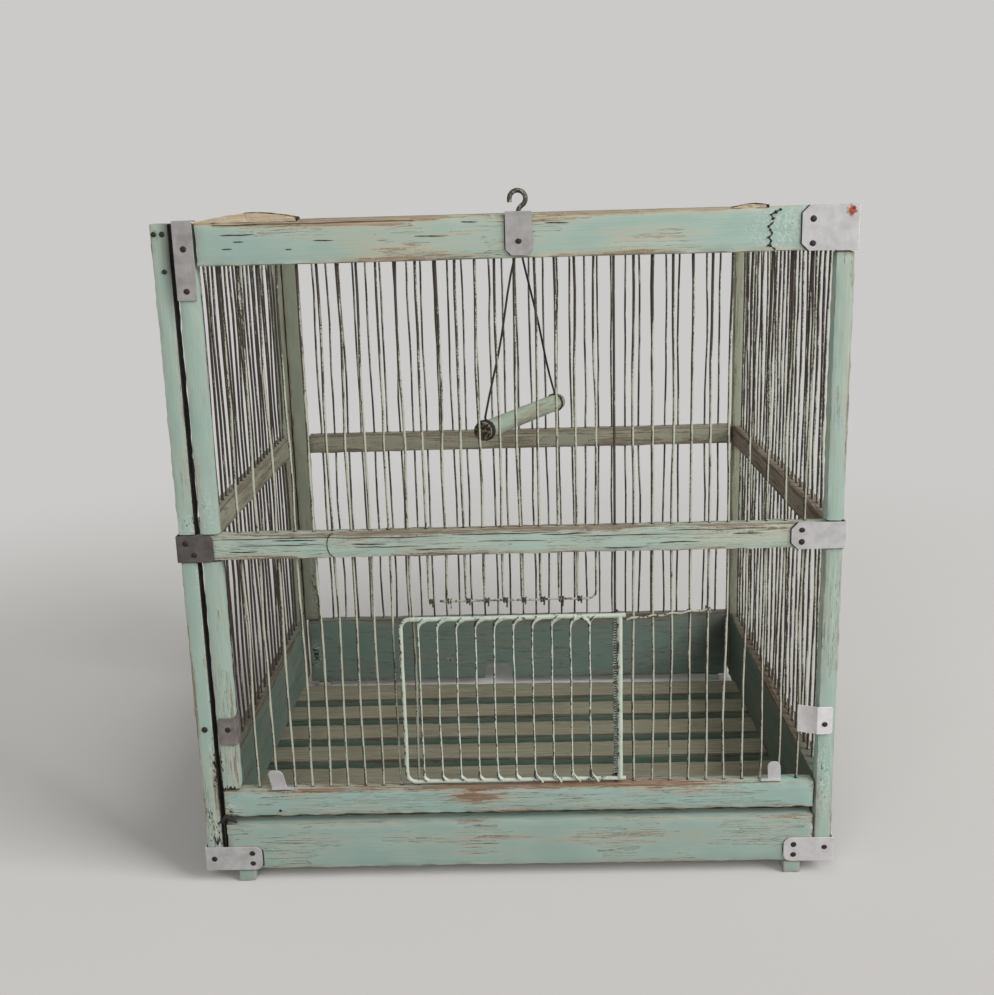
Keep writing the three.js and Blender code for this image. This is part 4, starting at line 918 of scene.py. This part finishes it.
def standing_tab(name, node, x0, x1, foot_end, lean):
    """A tab 13 mm high on the bottom rail, its foot folded sideways and pinned down."""
    piece = block(name, (x0, -170.95, SILL_TOP), (x1, -170.95 + TIN, SILL_TOP + 13))
    fold = (SILL_TOP + TIN) * MM
    open_mesh(piece, "FACE")
    bpy.ops.mesh.select_all(action="SELECT")
    bpy.ops.mesh.bisect(plane_co=(0, 0, fold), plane_no=(0, 0, 1))
    side = 1 if foot_end > x1 else -1
    pick(piece, "faces", lambda f: f.normal.x * side > 0.9 and f.calc_center_median().z < fold)
    reach = foot_end - (x1 if side > 0 else x0)
    bpy.ops.mesh.extrude_region_move(TRANSFORM_OT_translate={"value": (reach * MM, 0, 0)})
    bpy.ops.mesh.select_mode(type="EDGE")
    pick(piece, "edges", lambda e: abs(e.verts[0].co.y - e.verts[1].co.y) > 0.0005
         and e.verts[0].co.z > 80 * MM)
    bpy.ops.mesh.bevel(offset=3.6 * MM, segments=6, affect="EDGES")
    bpy.ops.mesh.select_mode(type="FACE")
    pick(piece, "faces", lambda f: f.normal.y < -0.9 and f.calc_center_median().z < fold)
    bpy.ops.mesh.extrude_region_move(TRANSFORM_OT_translate={"value": (0, -2.1 * MM, 0)})
    bpy.ops.object.mode_set(mode="OBJECT")
    snip = piece.modifiers.new("snipped_edge", "BEVEL")
    snip.width = 0.12 * MM
    snip.limit_method = "ANGLE"
    apply_all(piece)
    bpy.ops.object.shade_smooth_by_angle(angle=math.radians(35))
    for vertex in piece.data.vertices:
        vertex.co.x -= lean * max(0, vertex.co.z - (SILL_TOP + 1) * MM)
    piece.data.materials.append(dull_tin)
    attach(piece, "cage")
    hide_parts(node)


standing_tab("tab_left_bent", "tab_left", -163, -153, -148, 0.22)
standing_tab("tab_right_bent", "tab_right", 167, 175.5, 162, 0.05)


def nail_heads(name, nodes, places, radius=2.0, face=FACE):
    """Nail heads: spheres flattened, cut flat where they meet the tin, and struck out of true."""
    heads = []
    for number, (x, z, *own) in enumerate(places):
        bpy.ops.object.select_all(action="DESELECT")
        bpy.ops.mesh.primitive_uv_sphere_add(segments=14, ring_count=8,
                                             radius=(own[0] if own else radius) * MM,
                                             location=(x * MM, (face + 0.15) * MM, z * MM))
        head = bpy.context.object
        head.scale = (1.0, 0.42, 1.0 - 0.08 * (number % 3))
        bpy.ops.object.transform_apply(location=True, rotation=True, scale=True)
        open_mesh(head)
        bpy.ops.mesh.select_all(action="SELECT")
        bpy.ops.mesh.bisect(plane_co=(0, (face + 0.05) * MM, 0), plane_no=(0, 1, 0), use_fill=True,
                            clear_outer=True)
        bpy.ops.mesh.select_all(action="SELECT")
        bpy.ops.mesh.normals_make_consistent(inside=False)
        bpy.ops.object.mode_set(mode="OBJECT")
        heads.append(head)
    for head in heads:
        head.select_set(True)
    bpy.context.view_layer.objects.active = heads[0]
    if len(heads) > 1:
        bpy.ops.object.join()
    piece = bpy.context.object
    piece.name = name
    bpy.ops.object.shade_smooth_by_angle(angle=math.radians(50))
    piece.data.materials.append(nail_iron)
    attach(piece, "cage")
    if nodes:
        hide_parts(*nodes)


nail_heads("plate_nails", ["strap_top_left", "plate_top_centre", "plate_top_right", "plate_mid_right",
                           "plate_mid_left", "plate_bottom_left", "plate_bottom_right", "angle_left",
                           "angle_right"],
           [(-190, 422), (-190, 397), (10, 421.3), (183.8, 429.6), (183.8, 415.4), (183.2, 239.7),
            (183.2, 232), (-205, 239.7), (-200, 232), (-205, 18), (-179, 21.7), (-179, 14.3), (184.5, 21.7),
            (184.5, 14.3), (205, 19.5), (-188.4, 112), (202.1, 108)])
nail_heads("stick_nails", [], [(-202.2, 431), (-207.2, 431), (-202.6, 409), (-204, 112, 2.1),
                               (-158, 52.5, 1.0)], radius=1.7, face=-173.25)

# ---------- Cracks in the paint ----------
# Where two pieces move, the paint has split: a zigzag down the top rail near its right
# plate, and a bow across the left end of the mid rail. Dirt makes the splits black.

# The same dark grit also paints the shadow line along the edges of the plates.
crack_dirt_and_shadow = gritty("dirt_in_cracks_and_painted_shadow", 900.0, 2.0, "#1c1916", "#3d3a33", 0.95)
PAINT_FACE = -172.95
turns = [(165, 435.6), (162, 434), (159, 432.5), (160.4, 430.2), (160.9, 428.4), (157.6, 425.8),
         (158.8, 423.8), (160.2, 421.4), (157.9, 419.4), (159.6, 417.6), (158.3, 415), (161.7, 412.9),
         (162, 411.4)]
zigzag = []
for (x0, z0), (x1, z1) in zip(turns, turns[1:]):
    for t in (0, 0.33, 0.66):
        width = (1.75 if t == 0 else 0.8) * (0.75 + ripple(x0 * 3.1 + t * 5, z0 * 2.3, 1))
        zigzag.append((x0 + (x1 - x0) * t, PAINT_FACE, z0 + (z1 - z0) * t, width))
strip_line = [(x, -173.0, 435.2 + 0.6 * ripple(x * 0.06, 2, 2),
               0.5 + 0.8 * abs(ripple(x * 0.2, 5, 1))) for x in range(-172, -50, 4)]
foot_crack = [(-196.6, -173.2, z, 0.7 + 0.5 * ripple(z * 0.4, 1, 3)) for z in range(27, 46, 3)]
bow = [(-114.5 - 5.2 * math.cos(a) + 4.2, PAINT_FACE, 236.4 + 8.2 * math.sin(a), 0.8)
       for a in np.linspace(-1.35, 1.35, 12)]
knot = [(-200.5, -172.7, 43.6, 0.5), (-197.5, -172.4, 46, 1.5), (-194.6, -172.2, 48.6, 1.9),
        (-191.6, -172.4, 46.2, 1.5), (-188, -172.8, 43.8, 0.5)]
crest = [(x, -172.6, 437.75 + hump(x, -183, -121, 4.4), 0.5 + 1.1 * abs(ripple(x * 0.35, 4, 4)))
         for x in np.linspace(-152, -121.5, 22)]
small_crest = [(x, -172.6, 437.6 + hump(x, 137, 158, 1.7), 0.6 + 0.6 * abs(ripple(x * 0.35, 4, 8)))
               for x in np.linspace(136, 158, 12)]
# Dried-out streaks in the rails, dark with dust, 4 to 78 mm long. Each swells and thins.
streak_places = [(-167.6, -147, 429.4), (-160, -154, 425.4), (-167, -161, 421.2), (-112, -100, 424.8),
                 (-129, -125, 420.2), (-150, -122, 239.9), (-60, -30, 232.4), (20, 52, 240.4),
                 (95, 120, 233.6), (-100, -78, 236.4), (140, 160, 238.2), (60, 84, 230.6),
                 (-178, -160, 233), (-182, -104, 241.4), (-172, -118, 236.9), (-110, -40, 240.6),
                 (-98, -52, 234.6), (-36, 30, 241.6), (-20, 24, 236.6), (44, 110, 238.8), (100, 168, 241.3),
                 (-52, -34, 425.8), (26, 40, 431.5), (-24, -14, 433.4)]
swell = (0.3, 0.8, 1.0, 0.7, 1.1, 0.8, 0.6, 0.2)
streaks = []
for x0, x1, z in streak_places:
    line = [(x, PAINT_FACE, z + 0.5 * ripple(x * 0.07, z, 1), width)
            for x, width in zip(np.linspace(x0, x1, 8), swell)]
    streaks.append((0.36 if x1 - x0 < 40 else 0.27, line))
draw_wires("paint_cracks", [(0.72, zigzag), (0.34, bow), (0.3, strip_line), (0.45, foot_crack), (1.0, knot),
                            (0.34, crest), (0.34, small_crest)] + streaks, "cage", "green_paint", crack_dirt_and_shadow)

# Dirt has also gathered in the drilled holes. Along the edges of the plates, a dark line paints the sheet's
# shadow and the dirt there.
LOW_HOLE = 67.3
holes = [((across_places[i], FRONT_PLANE), LOW_HOLE) for i in whole]
holes += [((x, plane), RAIL_HIGH) for plane in (FRONT_PLANE, BACK_PLANE) for x in across_places]
holes += [((side, y), z) for side in (-204, 204) for y in depth_places for z in (LOW_HOLE, RAIL_HIGH)]
rims = []
for number, ((x, y), z) in enumerate(holes):
    rims.append((1.25 + 0.5 * ripple(number * 1.7, 3, 3), [(x, y, z - 0.5), (x, y, z + 0.12)]))
draw_wires("dirt_in_the_holes", rims, "cage", "grille_wood_and_wire", crack_dirt_and_shadow)
edges = []
for x, low, high, corner in ((177.1, 411, 437.5, 4.4), (176.5, RAIL_LOW, RAIL_HIGH, 4.2)):
    edges.append([(x + corner, low), (x, low + corner), (x, (low + high) / 2), (x, high - corner),
                  (x + corner, high)])
edges.append([(182.8 - 5 * math.cos(a), 18 + 8.5 * math.sin(a))
              for a in (-1.2, -0.8, -0.4, 0, 0.4, 0.8, 1.2)])
edges.append([(2.0, 436.5), (2.0, 428), (2.0, 417), (5, 413.4)])
edges.append([(-172.3, 24), (-172.1, 21), (-172.1, 15), (-172.3, 12)])
edge_runs = [(0.62, [(x, PAINT_FACE, z, 0.8 + 0.5 * ripple(x, z * 0.4, 1)) for x, z in line])
             for line in edges]
draw_wires("shadow_and_dirt_along_the_plates", edge_runs, "cage", "green_paint", crack_dirt_and_shadow)

# ---------- Hook and swing ----------
# An iron hook turns in the top bar, with an eye under it. A V of thin iron wire hangs in the
# eye and is wound round both ends of a painted dowel.

hook_metal, tree = new_material("worn_iron_with_paint_remains")
spot = add(tree, "TexCoord")
left = add(tree, "TexNoise", {"Vector": spot.outputs["Object"], "Scale": 260.0, "Detail": 4.0,
                              "Roughness": 0.6})
share = add(tree, "MapRange", {"Value": left.outputs["Fac"], "From Min": 0.55, "From Max": 0.6})
pits = add(tree, "TexNoise", {"Vector": spot.outputs["Object"], "Scale": 1400.0, "Detail": 3.0})
iron = add(tree, "Mix", {0: pits.outputs["Fac"], 6: colour("#3b3832"), 7: colour("#6e6b60")},
           data_type="RGBA")
skin = add(tree, "Mix", {0: share.outputs[0], 6: iron.outputs[2], 7: colour("#8d9a86")}, data_type="RGBA")
metal = add(tree, "MapRange", {"Value": share.outputs[0], "To Min": 0.75, "To Max": 0.0})
bump = add(tree, "Bump", {"Height": pits.outputs["Fac"], "Strength": 0.5, "Distance": 0.0003})
shader = add(tree, "BsdfPrincipled", {"Base Color": skin.outputs[2], "Metallic": metal.outputs[0],
                                      "Normal": bump.outputs[0]})
shader.inputs["Roughness"].default_value = 0.5
add(tree, "OutputMaterial", {"Surface": shader.outputs[0]})

# The hook stands 10 mm right of the middle, and the swing hangs across at 65 degrees.
HOOK_X, HOOK_Y = 10, 0.85
turn = math.radians(65)
perch_x, perch_y = math.cos(turn), math.sin(turn)
hook_run = [(HOOK_X, HOOK_Y, z, 0.83) for z in (419.6, 425, 431, 435.6)]
hook_run += [(10.25, HOOK_Y, 437.3, 0.9), (10.9, HOOK_Y, 438.9), (11.9, HOOK_Y, 440.3), (13.2, HOOK_Y, 441.3)]
hook_run += [(HOOK_X + 5.9 * math.cos(a), HOOK_Y, 446.2 + 5.9 * math.sin(a))
             for a in [math.radians(d) for d in range(-38, 192, 12)]]
hook_run += [(4.1, HOOK_Y, 444.9), (4.2, HOOK_Y, 443.7)]
eye_run = [(HOOK_X + 4 * math.sin(a) * perch_y, HOOK_Y - 4 * math.sin(a) * perch_x, 416 + 4 * math.cos(a))
           for a in [math.radians(d) for d in range(0, 372, 15)]]
draw_wires("hanging_hook_worn", [(1.74, hook_run), (1.45, eye_run)], "hook", "hook_iron", hook_metal,
           ["hanging_hook"], sides=12)

# Wire gone black with dirt and handling, in grains of 1.2 mm.
swing_metal = gritty("blackened_swing_wire", 800.0, 3.0, "#1d1917", "#453a31", 0.6, metal=0.35,
                     pits=(0.5, 0.0002))


def on_swing(along, z, aside=0.0):
    """A point in the swing's plane: along the perch, across it, and up, in millimetres."""
    return (HOOK_X + along * perch_x - aside * perch_y, HOOK_Y + along * perch_y + aside * perch_x, z)


# The bight hangs in the eye, and each leg runs down to a coil round one end of the perch.
BIGHT, BIGHT_Z = 2.5, 412
COIL, COIL_AT, PERCH_Z = 6.8, 63, 286
bight = [on_swing(BIGHT * math.cos(a), BIGHT_Z + BIGHT * math.sin(a)) for a in np.linspace(math.pi, 0, 9)]
swing_runs = []
for side, turns in ((-1, 4.2), (1, 1.1)):
    start = (bight[::-1] if side > 0 else bight)[-1:]
    leg = [on_swing(side * (BIGHT + (COIL_AT - BIGHT) * t + math.sin(t * 7)),
                    BIGHT_Z + (292.4 - BIGHT_Z) * t, 0.5 * math.sin(t * 9))
           for t in np.linspace(0.04, 0.98, 9)]
    coil = [on_swing(side * (COIL_AT - 2.0 + 0.95 * t), PERCH_Z + COIL * math.cos(2 * math.pi * t),
                     COIL * math.sin(2 * math.pi * t))
            for t in np.linspace(0, turns, int(turns * 14))]
    swing_runs.append((0.9, start + leg + coil))
swing_runs.append((0.8, bight))
draw_wires("swing_wire_twisted", swing_runs, "swing", "swing_iron", swing_metal, ["swing_wire"])

perch_green = paint_over_wood("sage_milk_paint_perch", "#a3b7a6", "#b3c0ab", "#a5957c", "#6b5a45", wear=0.16)
bpy.ops.object.select_all(action="DESELECT")
bpy.ops.mesh.primitive_cylinder_add(vertices=20, radius=6.9 * MM, depth=138 * MM, location=(0, 0, 0),
                                    rotation=(0, math.pi / 2, 0))
perch = bpy.context.object
perch.name = "perch_whittled"
bpy.ops.object.transform_apply(location=True, rotation=True, scale=True)
open_mesh(perch)
pick(perch, "edges", lambda e: len(e.link_faces) == 2 and any(len(f.verts) > 4 for f in e.link_faces))
bpy.ops.mesh.bevel(offset=0.9 * MM, segments=2, affect="EDGES")
pick(perch, "edges", lambda e: abs(e.verts[0].co.x - e.verts[1].co.x) > 0.1)
bpy.ops.mesh.subdivide(number_cuts=30)
bpy.ops.object.mode_set(mode="OBJECT")
knife_marks = bpy.data.textures.new("knife_marks", "CLOUDS")
knife_marks.noise_scale = 0.012
whittle = perch.modifiers.new("whittle", "DISPLACE")
whittle.texture = knife_marks
whittle.mid_level = 1.0
whittle.strength = 0.7 * MM
apply_all(perch)
flat = points_of(perch)
grime = 1.1 * np.clip((-flat[:, 0] / MM - 63) / 3, 0, 1) + 0.5 * np.clip((flat[:, 0] / MM - 64) / 3, 0, 1)
for label, values in (("grain", flat), ("worn", grime * 0.8), ("grime", grime)):
    mark(perch, label, values)
perch.rotation_euler = (0, 0, turn)
perch.location = (HOOK_X * MM, HOOK_Y * MM, PERCH_Z * MM)
bpy.ops.object.transform_apply(location=True, rotation=True, scale=True)
bpy.ops.object.shade_smooth_by_angle(angle=math.radians(40))
perch.data.materials.append(perch_green)
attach(perch, "swing")
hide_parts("perch")

# ---------- Door ----------
# One thick wire bent to a frame, with ten thin wires wound round its bars, and two eyes that
# turn on a cage wire. Many coats of paint have filled the windings, so each end is a web.

door_paint, tree = new_material("thick_enamel_on_door_wire")
spot = add(tree, "TexCoord")
shade = add(tree, "Attribute", attribute_name="rust")
flakes = add(tree, "TexNoise", {"Vector": spot.outputs["Object"], "Scale": 260.0, "Detail": 5.0,
                                "Roughness": 0.7})
specks = add(tree, "TexNoise", {"Vector": spot.outputs["Object"], "Scale": 1100.0, "Detail": 2.0})
sum_one = add(tree, "Math", {0: specks.outputs["Fac"], 1: 0.5, 2: flakes.outputs["Fac"]},
              operation="MULTIPLY_ADD")
sum_two = add(tree, "Math", {0: shade.outputs["Fac"], 1: 0.35, 2: sum_one.outputs[0]},
              operation="MULTIPLY_ADD")
bare = add(tree, "MapRange", {"Value": sum_two.outputs[0], "From Min": 0.86, "From Max": 0.905})
coat = add(tree, "Mix", {0: flakes.outputs["Fac"], 6: colour("#cbd2c4"), 7: colour("#adb6a6")},
           data_type="RGBA")
skin = add(tree, "Mix", {0: bare.outputs[0], 6: coat.outputs[2], 7: colour("#3a342d")}, data_type="RGBA")
lumps = add(tree, "Math", {0: bare.outputs[0], 1: -0.6, 2: flakes.outputs["Fac"]}, operation="MULTIPLY_ADD")
bump = add(tree, "Bump", {"Height": lumps.outputs[0], "Strength": 0.6, "Distance": 0.0005})
shader = add(tree, "BsdfPrincipled", {"Base Color": skin.outputs[2], "Normal": bump.outputs[0]})
shader.inputs["Roughness"].default_value = 0.55
add(tree, "OutputMaterial", {"Surface": shader.outputs[0]})

DOOR_PLANE, LOW_BAR, HIGH_BAR = -169.95, 70.5, 184.5
LEFT_BAR, BAR_END, HINGE_X = -72, 73.2, 66.69
CORNER = 6


def uneven(points, seed, amount=0.35):
    """Hand-bent wire: the same line, a little out of true, and lumpy with paint."""
    return [(x + amount * ripple(seed, z * 0.08, x * 0.03), y,
             z + amount * ripple(seed + 5, x * 0.05, z * 0.03),
             (width[0] if width else 1) * (1 + 0.09 * ripple(x * 0.2, z * 0.2, seed)))
            for x, y, z, *width in points]


quarter = np.linspace(0, math.pi / 2, 7)
bend_low = [(LEFT_BAR + CORNER - CORNER * math.sin(a), DOOR_PLANE, LOW_BAR + CORNER - CORNER * math.cos(a))
            for a in quarter]
bend_high = [(LEFT_BAR + CORNER - CORNER * math.cos(a), DOOR_PLANE, HIGH_BAR - CORNER + CORNER * math.sin(a))
             for a in quarter]
frame_run = ([(x, DOOR_PLANE, LOW_BAR) for x in np.linspace(BAR_END, -62, 22)] + bend_low
             + [(LEFT_BAR, DOOR_PLANE, z) for z in np.linspace(82, 173, 14)] + bend_high
             + [(x, DOOR_PLANE, HIGH_BAR, 1.14) for x in np.linspace(-62, BAR_END, 22)])
rod_run = [(69.3, DOOR_PLANE, z, 1.33) for z in np.linspace(LOW_BAR, HIGH_BAR, 16)]
draw_wires("door_bars", [(1.4, uneven(frame_run, 1)), (1.4, uneven(rod_run, 2, 0.15))], "door",
           "door_paint", door_paint, ["door_frame"], sides=10, rust=0.05, left_rust=0.6)


def beside(x, z, steps, hand=1):
    """A run near one place on a bar, from steps to the right, back and up, and its thickness."""
    return [(x + hand * right, DOOR_PLANE + back, z + up, *thick) for right, back, up, *thick in steps]


# How each thin wire ends on the low bar: the first six short, the others crossing it. And
# the webs of paint that have gathered in the crooks of the windings.
SHORT_END = [(0.2, -0.4, 4.2), (0.7, -0.9, 2.2), (1.6, -1.0, 0.8), (2.6, -0.8, 0)]
LONG_END = [(0.6, -0.9, 4.2), (2.6, -2.0, 1.6), (4.2, -2.1, -0.4), (5.1, -1.9, -1.3)]
HIGH_WEB = [(0, -0.1, -8, 0.8), (0.1, -0.2, -5, 1.2), (1.2, -0.3, -2.6, 1.7), (3.6, -0.2, -1.1, 1.7),
            (6.4, 0, -0.4, 1.4)]
LOW_WEB = [(-0.2, -0.1, 6, 0.8), (0, -0.3, 3.6, 1.2), (0.8, -0.4, 1.8, 1.7), (2.6, -0.3, 0.6, 1.6)]
door_runs = []
for i in range(10):
    x = -60.7 + 12.3 * i
    shift = 1.6 * ripple(i * 2.9, 1, 1)
    start = 2.4 if i in (6, 8) else 4.6
    points = beside(x, HIGH_BAR, [(start, -1.0, 0.9), (3.2, -1.9, 0.1), (1.6, -1.5, -1.6), (0.3, -0.5, -3.6)])
    for z in np.linspace(HIGH_BAR - 7, LOW_BAR + 8, 11):
        free = math.sin(math.pi * (z - LOW_BAR) / (HIGH_BAR - LOW_BAR))
        points.append((x + free * (shift + 0.9 * ripple(i * 3.3, z * 0.04, 2)), DOOR_PLANE, z))
    points += beside(x, LOW_BAR, SHORT_END if i < 6 else LONG_END)
    door_runs.append((0.68, points))
    door_runs.append((0.95, beside(x, HIGH_BAR, HIGH_WEB, hand=-1 if i == 9 else 1)))
    door_runs.append((0.95, beside(x, LOW_BAR, LOW_WEB)))
draw_wires("door_wires", door_runs, "door", "door_paint", door_paint, ["door_frame"], rust=0.34,
           left_rust=0.8)
# Loops of wire round the end of each bar and the hinge wire, bare and black.
loops = []
for z in (LOW_BAR, HIGH_BAR):
    loop = [(HINGE_X + 2.0 * math.cos(a), FRONT_PLANE + 2.0 * math.sin(a), z + 0.25 * a)
            for a in np.linspace(-3, 8, 26)]
    loops.append((0.75, loop))
draw_wires("door_hinge_loops", loops, "door", "door_paint", door_paint, ["door_frame"], rust=0.7)

# The winding round the hinge wire, a close coil of thin wire between the two bars.
TURNS, POINTS = 62, 12
COIL_LOW, COIL_HIGH = 72.8, 182.2
coil = []
for step in range(POINTS * TURNS + 1):
    a = 2 * math.pi * step / POINTS
    coil.append((HINGE_X + 1.4 * math.cos(a), FRONT_PLANE + 1.4 * math.sin(a),
                 COIL_LOW + step * (COIL_HIGH - COIL_LOW) / (POINTS * TURNS)))
draw_wires("door_hinge_winding", [(0.5, coil)], "door", "door_paint", door_paint, ["door_hinge_sleeve"],
           rust=-0.05, left_rust=1.0)
